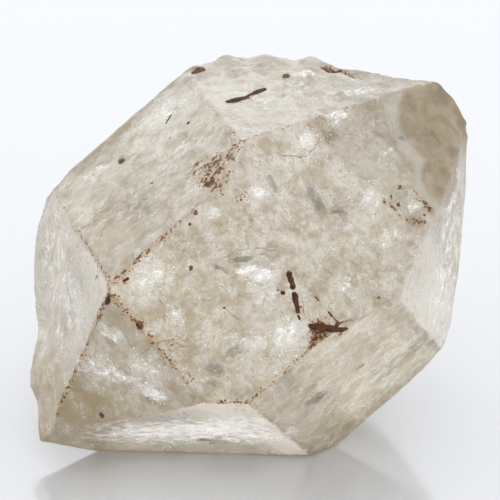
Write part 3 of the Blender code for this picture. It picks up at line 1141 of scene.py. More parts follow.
def with_blotches_and_cracks(tree, at, tone):
    """Grey blotches and brown hairlines over a tone; where the grey mark is strong, the grey is
    painted shade.
    """
    blotch = maths(tree, "ADD", mark(tree, "grey"), patches(tree, at, "grey blotches"))
    blotch = maths(tree, "MULTIPLY", blotch, patches(tree, at, "gaps in the blotches"))
    tone = mixed(tree, maths(tree, "MULTIPLY", blotch, BLOTCH_COVER), tone, GREY_AND_SHADE_TONE)
    cracks = maths(tree, "MULTIPLY", crack_lines(tree, at), CRACK_COVER)
    return mixed(tree, cracks, tone, CRACK_TONE)


def with_white_skin(tree, at, clouds, tone):
    """White flecks and crushed patches over a tone, where the stone is cloudy: white crushed
    quartz, and painted glints.
    """
    for name, levels in (("white flecks and painted glints", FLECK_CLOUDS), ("crushed skin and painted glints", CRUSHED_CLOUDS)):
        cover = maths(tree, "MULTIPLY", patches(tree, at, name), fitted(tree, clouds, *levels))
        tone = mixed(tree, cover, tone, WHITE_TONE)
    return tone


def with_smoky_tip(tree, clouds, tone):
    """The smoky brown tip over a tone, with a white line where it begins."""
    smoky = mark(tree, "smoky")
    smoke = mixed(tree, fitted(tree, clouds, *SMOKE_CLOUDS), SMOKY_TONE, SMOKY_LIGHT)
    tone = mixed(tree, smoky, tone, smoke)
    border = maths(tree, "MULTIPLY", smoky, maths(tree, "SUBTRACT", 1.0, smoky))
    return mixed(tree, fitted(tree, border, *SMOKY_BORDER), tone, WHITE_TONE)


def with_rust(tree, at, rust_share, tone):
    """A soft brown halo and dark rust grains over a tone."""
    rusty = mark(tree, "rust")
    tone = mixed(tree, fitted(tree, rusty, *HALO_LEVELS), tone, RUST_HALO)
    crumbs = from_group(tree, CRUMBS, Place=at, Per_mm=RUST_CRUMBS_PER_MM)
    deep = fitted(tree, maths(tree, "ADD", crumbs, rusty), *DEEP_RUST_LEVELS)
    return mixed(tree, rust_share, tone, mixed(tree, deep, RUST_LIGHT, RUST_DARK))


def quartz_tone(tree, at, streaks, rust_share):
    """The colour of the skin."""
    clouds = grain(tree, at, *CLOUDS)
    tone = milky_tone(tree, at, streaks, clouds)
    tone = with_blotches_and_cracks(tree, at, tone)
    tone = with_white_skin(tree, at, clouds, tone)
    tone = with_smoky_tip(tree, clouds, tone)
    return with_rust(tree, at, rust_share, tone)


print("layers of the skin ready")


# %% Quartz material
def streaks_of(tree, per_mm, squeeze):
    """Streaks along the places kept in the mesh."""
    place = mark(tree, "streak_place", "Vector")
    return from_group(tree, STREAKS, Place=place, Per_mm=per_mm, Squeeze=squeeze)


def quartz_roughness(tree, at, rust):
    """Etched from place to place, smooth at the smoky tip and dull where there is rust."""
    smoothed = fitted(tree, mark(tree, "smoky"), 0.0, 1.0, 0.0, SMOKY_SHEEN)
    etched = maths(tree, "SUBTRACT", patches(tree, at, "clear and etched skin"), smoothed)
    etched = maths(tree, "ADD", etched, maths(tree, "MULTIPLY", rust, RUST_ROUGHNESS))
    return maths(tree, "MAXIMUM", etched, LEAST_ROUGHNESS)


def quartz_normal(tree, at, streaks, rust):
    """The finest relief: etched grain, streaks and grains of rust that stand out."""
    skin = maths(tree, "MULTIPLY", streaks, STREAK_RELIEF)
    skin = maths(tree, "ADD", grain(tree, at, *ETCHED_GRAIN), skin)
    skin = maths(tree, "ADD", skin, maths(tree, "MULTIPLY", rust, RUST_RELIEF))
    return bumped(tree, skin, SKIN_RELIEF_MM, SKIN_RELIEF_STRENGTH)


def make_quartz():
    """Clear stone that browns the light on its way, under an etched and dusty skin."""
    material, tree, shader = new_material("cloudy quartz")
    at = millimetres(tree)
    streaks = streaks_of(tree, SKIN_STREAKS_PER_MM, SKIN_SQUEEZE)
    rust = rust_dots(tree, at)
    feed(tree, shader.inputs["Base Color"], quartz_tone(tree, at, streaks, rust))
    feed(tree, shader.inputs["Roughness"], quartz_roughness(tree, at, rust))
    feed(tree, shader.inputs["Normal"], quartz_normal(tree, at, streaks, rust))
    shader.inputs["IOR"].default_value = QUARTZ_BENDING
    shader.inputs["Transmission Weight"].default_value = SEEN_THROUGH
    browned = tree.nodes.new("ShaderNodeVolumeAbsorption")
    browned.inputs["Color"].default_value = BROWNING_TONE
    browned.inputs["Density"].default_value = BROWNING_DENSITY
    tree.links.new(browned.outputs["Volume"], tree.nodes["Material Output"].inputs["Volume"])
    return material


crystal.data.materials.clear()
crystal.data.materials.append(make_quartz())
crystal.data.shade_smooth()
crystal.data.set_sharp_from_angle(angle=math.radians(SHARP_OVER_DEG))
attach(crystal, "root")
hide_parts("crystal")
print("quartz on", crystal.name)

# %% [markdown]
# ## Veils inside the stone and frost on its skin
# A healed crack is a thin curved sheet of tiny bubbles inside the crystal. It shows as a
# soft grey-white veil. Where a crack comes up to the skin, or a knock has crushed it, the
# stone is bright white, as scratched glass is. The far side of a crack or dent lies in shade,
# and that shade is painted as a soft olive or grey sheet beside it. The bottom strip and the
# left and right faces carry broad pale frost, lit through the stone. That light comes out too
# weak in a render, so this glowing frost gives off a painted glow of its own, and the small
# frost a trace of it.
# All of these are made from a round ball pressed to a thin lens. A veil is bent a little and
# set under its face. Frost and shades follow the relief of the skin. A lens is closed, so it
# needs no rim. Its cover fades out towards the rim and is broken up by streaks along it.

# %% Veils
VEILS = (  # face, right, along, depth, half length, half width, heading, tilt, strength
    ("side0", 2.8, -4.8, 0.4, 0.9, 0.5, 30.0, 8.0, 0.8),
    ("side0", 2.9, -3.2, 0.4, 0.7, 0.4, 60.0, -8.0, 0.8),
    ("side5", 0.9, -1.9, 0.5, 1.3, 0.6, 62.0, 6.0, 0.7),
    ("side5", 4.4, 2.6, 0.5, 2.4, 0.7, 62.0, 6.0, 0.6),
    ("upper0", -2.6, -1.4, 0.6, 1.5, 0.9, 100.0, -10.0, 0.5),
    ("upper0", 1.6, 3.4, 0.9, 2.0, 1.0, 84.0, 12.0, 0.5),
    ("upper1", -3.4, 3.0, 0.6, 3.6, 1.9, 98.0, 5.0, 0.5),
    ("upper5", 3.6, 3.6, 0.7, 3.2, 1.6, -73.0, 8.0, 0.5),
    ("upper3", 0.0, 3.0, 0.8, 2.4, 1.4, 70.0, 6.0, 0.5),
    ("side3", 0.0, 0.0, 0.9, 2.4, 1.6, 70.0, -6.0, 0.5),
)
print("veils:", len(VEILS))

# %% Frost and shades
FROST = (  # face, right, along, half length, half width, heading, strength
    ("lower0", 0.2, -1.4, 1.5, 0.9, 60.0, 0.5),
    ("lower0", -1.0, -4.0, 2.6, 0.6, 36.0, 0.5),
    ("lower0", -0.2, -3.2, 2.4, 0.5, 30.0, 0.5),
    ("lower0", 1.8, -2.2, 1.1, 0.5, 50.0, 0.9),
    ("lower0", -2.4, -1.6, 1.4, 0.6, 20.0, 0.5),
    ("lower1", -0.5, -5.8, 1.8, 0.9, -60.0, 0.5),
    ("side0", -0.1, 0.0, 0.8, 0.30, 55.0, 1.1),
    ("side0", 0.65, 0.5, 0.9, 0.45, 55.0, 1.1),
    ("side0", 1.6, -0.2, 0.9, 0.5, 70.0, 0.5),
    ("side0", -3.1, -3.9, 1.0, 0.6, 60.0, 0.8),
    ("side0", -3.4, -4.8, 0.7, 0.4, 90.0, 0.8),
    ("side0", -1.0, -4.4, 0.7, 0.5, 20.0, 0.6),
    ("side0", 4.0, -0.5, 1.3, 1.0, 100.0, 0.8),
    ("side0", 3.1, -2.2, 0.7, 0.4, 40.0, 0.7),
    ("side0", -3.6, 0.6, 0.7, 0.5, 90.0, 0.7),
    ("upper0", -3.2, 2.7, 0.8, 0.5, 84.0, 0.8),
    ("upper0", -3.1, 5.6, 1.2, 0.6, 84.0, 0.8),
    ("upper0", -2.9, -2.2, 0.9, 0.5, 60.0, 0.7),
    ("upper0", 1.6, 3.4, 0.9, 0.7, 84.0, 0.6),
    ("upper0", 3.7, 5.6, 0.6, 0.45, 60.0, 0.7),
    ("upper0", 3.9, 2.4, 1.4, 0.8, 84.0, 0.5),
    ("upper0", 4.4, -1.6, 1.4, 0.7, 84.0, 0.4),
    ("upper0", 0.4, 6.4, 0.8, 0.5, 100.0, 0.5),
    ("side1", -5.4, 1.6, 2.2, 1.1, 68.0, 0.6),
    ("side1", -5.2, -3.6, 1.6, 0.8, 68.0, 0.6),
    ("side1", -0.6, 1.8, 2.0, 0.9, 68.0, 0.35),
    ("upper1", -2.6, 2.4, 5.2, 3.2, 98.0, 0.2),
    ("upper1", -4.6, 4.8, 1.0, 0.7, 60.0, 0.7),
    ("upper1", -1.6, 7.0, 2.0, 0.8, 98.0, 0.5),
    ("side5", 3.0, 4.2, 1.6, 0.6, 62.0, 0.5),
    ("upper3", 0.5, 2.0, 2.6, 1.4, 70.0, 0.6),
    ("side3", -1.0, 2.0, 2.4, 1.4, 70.0, 0.5),
    ("lower3", 1.0, -3.0, 2.2, 1.2, 100.0, 0.6),
    ("side4", 0.5, 1.0, 2.4, 1.0, 70.0, 0.5),
)
# Painted glow: these lenses give off light of their own, standing in for light let through the
# stone.
GLOWING_FROST = (  # broad frost that glows with the light from inside the stone, laid out alike
    ("lower5", -0.4, -4.6, 5.6, 2.7, 84.0, 1.2),
    ("lower5", -0.4, -1.0, 3.6, 3.0, 84.0, 1.2),
    ("lower5", 1.8, 0.4, 2.6, 1.9, 84.0, 1.0),
    ("lower1", -3.6, -2.4, 4.6, 2.9, -36.0, 0.32),
    ("lower1", 0.6, -3.6, 3.4, 1.9, -20.0, 0.36),
    ("upper5", 3.4, 4.8, 4.2, 2.4, -73.0, 0.45),
    ("upper5", 4.4, 0.8, 3.2, 2.2, -73.0, 0.45),
)
# Painted shade: dark lenses stand in for the shaded far side of cracks and dents.
SHADES = (  # the dark side of cracks and dents, laid out as the frost patches are
    ("side0", -0.74, 0.18, 0.70, 0.20, 55.0, 1.6),
    ("side0", -1.05, -1.0, 0.50, 0.17, 22.0, 1.4),
    ("side0", -0.2, 1.25, 0.60, 0.08, 55.0, 1.0),
    ("side0", 2.8, -4.8, 0.9, 0.5, 30.0, 0.32),
    ("side0", 2.9, -3.3, 0.7, 0.4, 60.0, 0.3),
    ("side0", 3.4, -5.6, 0.7, 0.4, 60.0, 0.5),
    ("upper0", -0.4, 0.5, 1.0, 0.42, -24.0, 1.2),
    ("upper0", 0.9, 1.1, 0.8, 0.16, 50.0, 1.1),
    ("upper0", -2.8, -1.0, 0.8, 0.34, -17.0, 0.9),
    ("upper0", -2.3, 4.1, 0.6, 0.4, 84.0, 0.7),
    ("upper0", 0.3, 8.1, 0.3, 0.2, 60.0, 1.0),
    ("side5", 0.9, -1.9, 1.1, 0.4, 62.0, 0.8),
    ("side5", 4.5, 1.9, 1.1, 0.4, 62.0, 0.8),
    ("side5", 4.2, 4.2, 1.0, 0.4, 62.0, 0.6),
    ("side1", 0.9, -2.2, 1.4, 0.4, 68.0, 0.6),
    ("side1", -1.6, 1.9, 0.7, 0.4, 68.0, 0.5),
    ("side1", -1.0, -4.4, 1.6, 0.5, 68.0, 0.5),
    ("lower5", 1.5, -3.0, 0.7, 0.35, 84.0, 1.3),
    ("lower0", 1.9, -2.7, 0.5, 0.3, 36.0, 0.8),
    ("lower0", -2.0, -2.2, 0.4, 0.25, 36.0, 0.6),
    ("upper1", -5.6, 5.6, 0.5, 0.2, 40.0, 0.8),
    ("upper1", -6.9, 3.0, 0.8, 0.25, 98.0, 0.7),
    ("lower1", 0.4, -8.8, 1.2, 0.5, -36.0, 0.5),
)
LENS_HALF_THICKNESS_MM = 0.012
LENS_STEPS = 14
LENS_NOISE_STEP = 5  # parts the noise of one lens from that of the next
VEIL_BEND_MM, VEIL_BENDS_PER_MM = 0.2, 0.7
VEIL_DEPTH_MM = 0.12  # a veil stays at least this deep
print("frost:", len(FROST), "glowing frost:", len(GLOWING_FROST), "shades:", len(SHADES))


# %% Lenses
def lens_mesh():
    """An empty mesh for lenses, with the layers for their cover and streak places."""
    bm = bmesh.new()
    cover = bm.verts.layers.float.new("cover")
    return bm, cover, bm.verts.layers.float_vector.new("streak_place")


def add_lens(target, place_at, half_length, half_width, strength, seed):
    """Adds one closed thin lens, with each of its points put in place by a function."""
    bm, cover, place = target
    made = bmesh.ops.create_uvsphere(
        bm, u_segments=2 * LENS_STEPS, v_segments=LENS_STEPS, radius=1.0
    )
    for vert in made["verts"]:
        x, y, z = vert.co
        vert[cover] = strength * max(0.0, 1.0 - x * x - y * y)
        vert[place] = (y * half_width + seed, x * half_length, seed)
        vert.co = place_at(x * half_length, y * half_width, z * LENS_HALF_THICKNESS_MM)


def under_face(name, right, along, depth, heading_deg, tilt_deg):
    """Puts points on a bent sheet under a face, turned in it and tipped out of it."""
    normal = FACES[name][0]
    turn = Matrix((*directions_on(normal), normal)).transposed()
    turn = turn @ Matrix.Rotation(math.radians(heading_deg), 3, "Z")
    turn = turn @ Matrix.Rotation(math.radians(tilt_deg), 3, "X")
    centre = point_on(name, right, along) - normal * depth

    def place_at(x, y, z):
        bend = VEIL_BEND_MM * noise.noise(Vector((x, y, 0)) * VEIL_BENDS_PER_MM + centre)
        place = centre + turn @ Vector((x, y, z + bend))
        sunk = max(0.0, VEIL_DEPTH_MM - inside_by(place))
        return place - normal * sunk

    return place_at


def on_skin(name, right, along, heading_deg):
    """Puts points on the skin of a face, along its relief."""
    normal = FACES[name][0]
    turn = Matrix.Rotation(math.radians(heading_deg), 2)

    def place_at(x, y, z):
        flat = turn @ Vector((x, y))
        place = point_on(name, right + flat.x, along + flat.y)
        for other, distance in FACES.values():
            place -= other * max(0.0, other.dot(place) - distance)
        return lifted(place, normal) + normal * z

    return place_at


def veils_inside(veils):
    """One mesh with all the veils."""
    target = lens_mesh()
    for face, right, along, depth, half_length, half_width, heading, tilt, strength in veils:
        place_at = under_face(face, right, along, depth, heading, tilt)
        add_lens(target, place_at, half_length, half_width, strength, LENS_NOISE_STEP * right)
    return target[0]


def lenses_on_skin(listed):
    """One mesh with a lens on the skin for each listed patch."""
    target = lens_mesh()
    for face, right, along, half_length, half_width, heading, strength in listed:
        place_at = on_skin(face, right, along, heading)
        add_lens(target, place_at, half_length, half_width, strength, LENS_NOISE_STEP * right)
    return target[0]


veil_mesh = veils_inside(VEILS)
frost_mesh = lenses_on_skin(FROST)
glowing_mesh = lenses_on_skin(GLOWING_FROST)
shade_mesh = lenses_on_skin(SHADES)
print("lens points:", [len(mesh.verts) for mesh in (veil_mesh, frost_mesh, glowing_mesh, shade_mesh)])

# %% Veil and frost materials
VEIL_TONES = ((0.88, 0.875, 0.84, 1), (0.97, 0.97, 0.95, 1))
FROST_TONES = ((0.80, 0.77, 0.71, 1), (0.95, 0.945, 0.93, 1))
SHADE_TONES = ((0.16, 0.145, 0.10, 1), (0.33, 0.32, 0.26, 1))
WISPY = {  # streaks per mm, squeeze, where it begins, where it is full, most cover, tones, glow
    "white veil": (3.0, 0.3, 1.35, 1.85, 0.8, VEIL_TONES, 0.0),
    "frosted skin": (5.0, 0.32, 1.30, 1.90, 0.9, FROST_TONES, 0.08),
    "glowing frost": (4.0, 0.25, 1.30, 2.05, 0.85, FROST_TONES, 0.30),
    "grey shade": (4.0, 0.5, 1.30, 2.0, 0.5, SHADE_TONES, 0.0),
}
STREAKS_WEIGHT, TORN_WEIGHT, COVER_WEIGHT = 1.1, 1.5, 0.42  # what the cover is made of
TORN_SCALE = 0.4  # torn patches for each streak
TORN_NOISE = (5, 0.75)  # detail, roughness
RIM_FADE = 0.2  # cover mark below which a lens fades out
WISPY_ROUGHNESS = 0.5


def make_wispy(name):
    """A thin sheet that streaks, tears and its own fading cover break up."""
    per_mm, squeeze, begins, full, most, tones, glow = WISPY[name]
    material, tree, shader = new_material(name)
    at = millimetres(tree)
    cover = mark(tree, "cover")
    torn = grain(tree, at, per_mm * TORN_SCALE, *TORN_NOISE)
    torn = maths(tree, "MULTIPLY", torn, TORN_WEIGHT)
    body = maths(tree, "MULTIPLY", streaks_of(tree, per_mm, squeeze), STREAKS_WEIGHT)
    body = maths(tree, "ADD", body, torn)
    body = maths(tree, "ADD", body, maths(tree, "MULTIPLY", cover, COVER_WEIGHT))
    wisps = fitted(tree, body, begins, full, 0.0, most)
    faded = maths(tree, "MULTIPLY", wisps, fitted(tree, cover, 0.0, RIM_FADE))
    feed(tree, shader.inputs["Alpha"], faded)
    tone = mixed(tree, patches(tree, at, "tones of veils and frost"), *tones)
    feed(tree, shader.inputs["Base Color"], tone)
    # Emission paints a glow on the frost, for light let through the stone: strong on the glowing
    # frost, a trace on the small frost, none on veils and shades.
    feed(tree, shader.inputs["Emission Color"], tone)
    shader.inputs["Emission Strength"].default_value = glow
    shader.inputs["Roughness"].default_value = WISPY_ROUGHNESS
    return material


def finish_inner(name, bm, material):
    """Turns a mesh in mm into a piece of the crystal."""
    to_table(bm)
    item = add_object(name, bm)
    item.data.materials.append(material)
    item.data.shade_smooth()
    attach(item, "root")
    print(name, "has", len(item.data.polygons), "faces")


finish_inner("inner_veils", veil_mesh, make_wispy("white veil"))
finish_inner("white_frost", frost_mesh, make_wispy("frosted skin"))
finish_inner("glowing_frost", glowing_mesh, make_wispy("glowing frost"))
finish_inner("grey_shades", shade_mesh, make_wispy("grey shade"))

# %% [markdown]
# ## Glitter inside the stone
# Tiny cracks catch the light as bright flecks, in swarms where the stone took a knock and
# sparsely everywhere else. A crack full of air turns light back like a mirror, so a fleck
# gets a mirror's material. Each is a flat six-sided double cone, the simplest closed shape
# that is thin at its rim. Where a crack reaches the skin, the quartz is crushed to white
# crumbs, so each swarm also gets flat chips that lie in the skin.

# %% Glitter: face, right, along, radius of the swarm in mm, count
GLITTER_SWARMS = (
    ("side0", 0.5, 0.5, 0.7, 46),
    ("side0", -3.2, -3.9, 0.9, 40),
    ("side0", -0.8, -4.9, 0.6, 16),
    ("side0", 4.0, -0.9, 1.0, 44),
    ("side0", 3.0, -2.7, 0.7, 24),
    ("lower0", 0.3, -1.2, 1.0, 44),
    ("lower0", 1.7, -2.1, 0.7, 24),
    ("lower0", -1.0, -4.2, 1.2, 24),
    ("lower5", -0.7, -5.0, 2.4, 44),
    ("lower5", 0.5, -0.5, 1.4, 30),
    ("upper0", -2.9, 2.8, 1.2, 34),
    ("upper0", 0.6, 3.4, 1.4, 30),
    ("upper0", 3.4, 5.4, 0.6, 12),
    ("upper1", -2.4, 3.0, 2.2, 24),
    ("lower1", 1.6, -3.4, 0.9, 18),
    ("upper5", 3.5, 3.0, 2.2, 24),
)
LOOSE_GLITTER = 260
GLITTER_HALF_MM = (0.03, 0.11)
GLITTER_DEPTH_MM = (0.10, 0.55)
GLITTER_THICKNESS = 0.12  # share of its half width
GLITTER_STRETCH = (0.35, 1.0)
GLITTER_CLEARANCE_MM = 0.05  # between a fleck and the flat faces
LOOSE_REACH_MM = 15  # loose flecks are looked for this far from the middle,
LOOSE_DEPTH_MM = (0.2, 2.5)  # this deep under the faces,
LOOSE_SMOKE = 0.3  # and where the stone is less smoky than this
drawn = random.Random(7)


def add_fleck(bm, centre, half):
    """Adds one flat double cone at a random tilt."""
    axis = Vector([drawn.gauss(0, 1) for number in range(3)]).normalized()
    turn = axis.to_track_quat("Z", "Y").to_matrix()
    stretch = drawn.uniform(*GLITTER_STRETCH)
    made = bmesh.ops.create_uvsphere(bm, u_segments=6, v_segments=2, radius=half)
    for vert in made["verts"]:
        local = Vector((vert.co.x, vert.co.y * stretch, vert.co.z * GLITTER_THICKNESS))
        vert.co = centre + turn @ local


glitter_mesh = bmesh.new()
for face, right, along, radius, count in GLITTER_SWARMS:
    for number in range(count):
        away = radius * math.sqrt(drawn.random())
        angle = drawn.uniform(0, 2 * math.pi)
        spot = point_on(face, right + away * math.cos(angle), along + away * math.sin(angle))
        spot -= FACES[face][0] * drawn.uniform(*GLITTER_DEPTH_MM)
        half = drawn.uniform(*GLITTER_HALF_MM)
        if inside_by(spot) > half + GLITTER_CLEARANCE_MM:
            add_fleck(glitter_mesh, spot, half)
made = 0
while made < LOOSE_GLITTER:
    spot = Vector([drawn.uniform(-LOOSE_REACH_MM, LOOSE_REACH_MM) for number in range(3)])
    half = drawn.uniform(*GLITTER_HALF_MM)
    fits = LOOSE_DEPTH_MM[0] + half < inside_by(spot) < LOOSE_DEPTH_MM[1]
    if fits and smoky_at(spot) < LOOSE_SMOKE:
        add_fleck(glitter_mesh, spot, half)
        made += 1
print("glitter:", len(glitter_mesh.faces), "faces")


# %% White chips in the skin
CHIP_HALF_MM = (0.02, 0.065)
CHIPS_EACH = 1.4  # chips for each fleck of a swarm
CHIP_SPREAD = 1.3  # how much wider than the flecks they lie
CHIP_PRESSED = 0.75  # how far a chip is pressed into the skin
CHIP_UNEVEN, CHIP_UNEVEN_PER_MM = 0.8, 20
CHIP_BEYOND_MM = 0.01  # a place this far outside another face isn't on the stone
chip_mesh = bmesh.new()
for face, right, along, radius, count in GLITTER_SWARMS:
    normal = FACES[face][0]
    for number in range(round(count * CHIPS_EACH)):
        away = radius * CHIP_SPREAD * math.sqrt(drawn.random())
        angle = drawn.uniform(0, 2 * math.pi)
        flat = point_on(face, right + away * math.cos(angle), along + away * math.sin(angle))
        if inside_by(flat) < -CHIP_BEYOND_MM:
            continue
        middle = lifted(flat, normal)
        half = drawn.uniform(*CHIP_HALF_MM)
        made = bmesh.ops.create_icosphere(chip_mesh, subdivisions=1, radius=half)
        for vert in made["verts"]:
            out = vert.co.dot(normal)
            uneven = 1 + CHIP_UNEVEN * noise.noise(vert.co * CHIP_UNEVEN_PER_MM + middle)
            vert.co = middle + (vert.co - normal * (out * CHIP_PRESSED)) * uneven
print("chips:", len(chip_mesh.faces), "faces")


# %% Glitter and chip materials
GLITTER_TONE = (0.96, 0.95, 0.92, 1)
GLITTER_ROUGHNESS = (0.1, 0.3)
CHIP_ROUGHNESS = (0.3, 0.6)


def make_chips():
    """White crushed quartz."""
    material, tree, shader = new_material("crushed quartz")
    shade = patches(tree, millimetres(tree), "tones of the chips")
    feed(tree, shader.inputs["Base Color"], mixed(tree, shade, *FROST_TONES))
    feed(tree, shader.inputs["Roughness"], fitted(tree, shade, 0.0, 1.0, *CHIP_ROUGHNESS))
    return material


def make_glitter():
    """A small mirror, as a crack full of air is."""
    material, tree, shader = new_material("bright fleck")
    shade = patches(tree, millimetres(tree), "tones of the glitter")
    feed(tree, shader.inputs["Base Color"], mixed(tree, shade, GLITTER_TONE, WHITE_TONE))
    feed(tree, shader.inputs["Roughness"], fitted(tree, shade, 0.0, 1.0, *GLITTER_ROUGHNESS))
    shader.inputs["Metallic"].default_value = 1.0
    return material


finish_inner("inner_glitter", glitter_mesh, make_glitter())
finish_inner("white_chips", chip_mesh, make_chips())

# %% [markdown]
# ## Dark rods, rust threads and specks
# A few rods and grains of dark matter lie in the skin of the stone, half sunk, and rust has
# crept along fine cracks. A rod or thread is a cylinder parted into rings that follow the
# surface from place to place, and each ring is a little wider or narrower and moved off the
# line, which gives the ragged outline that a plain cylinder lacks. A speck is a small ball
# pressed flat and made uneven.

# %% Rods
RODS = {  # width in mm, then places on the faces
    "rod on the top face": (0.46, ("upper1", -2.2, -0.8), ("upper1", -3.3, 1.95)),
    "upper rod of the front": (0.34, ("side0", 1.40, 1.64), ("side0", 2.36, 1.24)),
    "lower rod of the front": (0.30, ("side0", 2.46, 1.14), ("side0", 3.52, 0.58)),
    "grains below the rods": (0.16, ("side0", 3.56, 0.50), ("side0", 3.84, 0.40)),
    # Painted shadow: a dark bar along the upper edge of the notch, where its wall lies in shade.
    "shadow bar in the notch": (
        0.36,
        ("side0", 4.36, 0.56),
        ("side0", 5.38, 1.38),
        ("side5", -3.70, 1.98),
    ),
    "blob beside the rods": (0.20, ("side0", 1.98, 0.62), ("side0", 2.20, 0.76)),
    "needle on the left": (0.12, ("side1", -4.10, 1.60), ("side1", -4.55, 2.25)),
    "tail of the needle": (0.06, ("side1", -4.50, 2.2), ("side1", -4.85, 2.8)),
    "corner stain on the left": (0.24, ("lower0", -4.0, 0.1), ("lower0", -3.75, -0.45)),
    "dark of the left edge": (0.16, ("side0", -4.10, -5.5), ("side0", -4.05, -5.1)),
    "dark of the lower left edge": (0.14, ("side0", -1.90, -6.45), ("side0", -1.50, -6.45)),
}
print("rods:", len(RODS))

# %% Threads
THREADS = {  # width in mm, then places on the faces
    "beside the rods": (0.06, ("side0", 3.01, 1.27), ("side0", 3.86, 0.74)),
    "first scratch": (0.05, ("side1", -1.38, -5.77), ("side1", -1.23, -5.07)),
    "second scratch": (0.05, ("side1", -0.67, -4.97), ("side1", -0.26, -3.16)),
    "third scratch": (0.05, ("side1", 0.76, -1.16), ("side1", 1.11, -0.1)),
    "crack of the upper face": (
        0.07,
        ("upper0", -2.84, 3.88),
        ("upper0", -2.6, 2.9),
        ("upper0", -2.56, 1.94),
        ("upper0", -3.05, 1.3),
        ("upper0", -3.65, 0.69),
    ),
    "arc of the upper face": (
        0.05,
        ("upper0", -2.84, 3.88),
        ("upper0", -2.62, 4.52),
        ("upper0", -1.39, 5.86),
    ),
    "tail of that crack": (
        0.05,
        ("upper0", -2.84, 3.88),
        ("upper0", -3.23, 3.84),
        ("upper0", -3.43, 4.64),
    ),
    "line under the grey blotch": (
        0.07,
        ("upper0", -0.09, 0.13),
        ("upper0", 0.76, 0.68),
        ("upper0", 0.98, 1.4),
        ("upper0", 1.53, 1.54),
    ),
    "crack of the front": (
        0.04,
        ("side0", -3.23, -3.06),
        ("side0", -2.63, -3.87),
        ("side0", -2.40, -4.44),
    ),
    "its lower part": (
        0.035,
        ("side0", -2.16, -4.66),
        ("side0", -1.38, -4.76),
        ("side0", -1.08, -5.09),
    ),
    "thread under the dent": (0.04, ("side0", 0.62, -2.30), ("side0", 1.62, -2.16)),
    "thread off the left edge": (0.06, ("side0", -0.44, -6.45), ("side0", 0.07, -5.44)),
    "thread off the lower left edge": (0.04, ("lower1", 2.4, -3.91), ("lower0", -2.93, -2.6)),
    "thread up from the patch": (
        0.07,
        ("side1", 4.4, 2.0),
        ("side1", 3.94, 2.45),
        ("side1", 3.57, 3.05),
        ("side1", 3.3, 3.59),
    ),
    "second thread up": (0.05, ("side1", 3.4, 3.3), ("side1", 2.5, 3.9), ("side1", 1.58, 4.2)),
    "rim of the patch": (0.08, ("side1", 2.12, 1.0), ("side1", 1.72, 1.61), ("side1", 1.95, 2.1)),
    "shell edge": (
        0.04,
        ("side0", -1.5, -0.74),
        ("side0", -1.33, 0.27),
        ("side0", -0.55, 1.33),
        ("side0", 0.14, 1.9),
    ),
    "crack of the back": (0.05, ("side3", -0.4, 2.6), ("side3", 0.5, 1.2), ("side3", 0.2, -0.4)),
    "streak on the right": (0.09, ("side5", 1.15, 0.7), ("side5", 1.4, 1.3)),
    "edge of the smoky tip": (
        0.04,
        ("upper0", -1.65, 8.79),
        ("upper0", -1.07, 8.51),
        ("upper0", -0.15, 7.87),
        ("upper0", 0.43, 7.39),
    ),
}
print("threads:", len(THREADS))

# %% Specks
SPECKS = (  # face, right, along, radius in mm
    ("side1", -4.23, -1.69, 0.24),
    ("side1", -2.44, 2.67, 0.11),
    ("side1", -2.51, 1.33, 0.06),
    ("side1", 0.02, -1.02, 0.07),
    ("side0", -4.29, -0.04, 0.12),
    ("side0", -4.05, -0.68, 0.09),
    ("side0", -2.21, -2.22, 0.13),
    ("side0", 0.62, -2.30, 0.07),
    ("side0", -1.76, -6.46, 0.12),
    ("side0", 1.82, 0.57, 0.06),
    ("lower0", 0.85, -6.4, 0.16),
    ("upper0", 3.04, 5.05, 0.14),
    ("upper0", 2.28, 4.10, 0.08),
    ("upper0", 4.42, 6.15, 0.10),
    ("upper1", -7.0, -0.8, 0.34),
    ("upper1", -6.9, -1.1, 0.24),
    ("upper1", -4.85, 3.75, 0.22),
    ("upper1", -5.9, 7.6, 0.30),
    ("upper1", -5.3, 8.1, 0.26),
    ("side3", 1.2, 2.4, 0.14),
    ("side3", -2.6, -1.4, 0.10),
    ("upper3", 1.8, 4.2, 0.12),
    ("lower3", -0.8, -4.4, 0.12),
)
print("specks:", len(SPECKS))

# %% Measures of rods, threads and specks
ROD_SIDES = 8
ROD_RING_MM = 0.07
LEAST_RINGS = 4
ROD_HEIGHT = 0.6  # share of its width
ROD_SUNK, THREAD_SUNK = 0.1, 0.45  # share of the radius that lies under the surface
ROD_END, ROD_TAPER = 0.5, 4  # a rod's end has half its radius, and how soon it is full
ROD_LOOK = 0.02  # share of the path looked ahead and back, to find its direction
RAGGED = 0.32  # how much wider and narrower a rod gets
WIDE_RAGGED_PER_MM, FINE_RAGGED_PER_MM, RAGGED_AROUND = 3.0, 9.0, 2
ROD_WANDER_MM, THREAD_WANDER_MM = 0.05, 0.09
WANDER_PER_MM = 2.4
WANDER_PLACE = Vector((9, 0, 0))  # keeps this noise apart from the ragged one
SPECK_PRESSED = 0.3
SPECK_UNEVEN, SPECK_UNEVEN_SCALE = 0.8, 1.6
print("a rod has a ring every", ROD_RING_MM, "mm")


# %% Rods along a path
def along_path(path, share):
    """The place on the rough surface a share of the way along a path, and the way out from it."""
    steps = len(path) - 1
    step = min(int(share * steps), steps - 1)
    first, last, part = path[step], path[step + 1], share * steps - step
    normal = FACES[first[0]][0].lerp(FACES[last[0]][0], part).normalized()
    return lifted(point_on(*first).lerp(point_on(*last), part), normal), normal


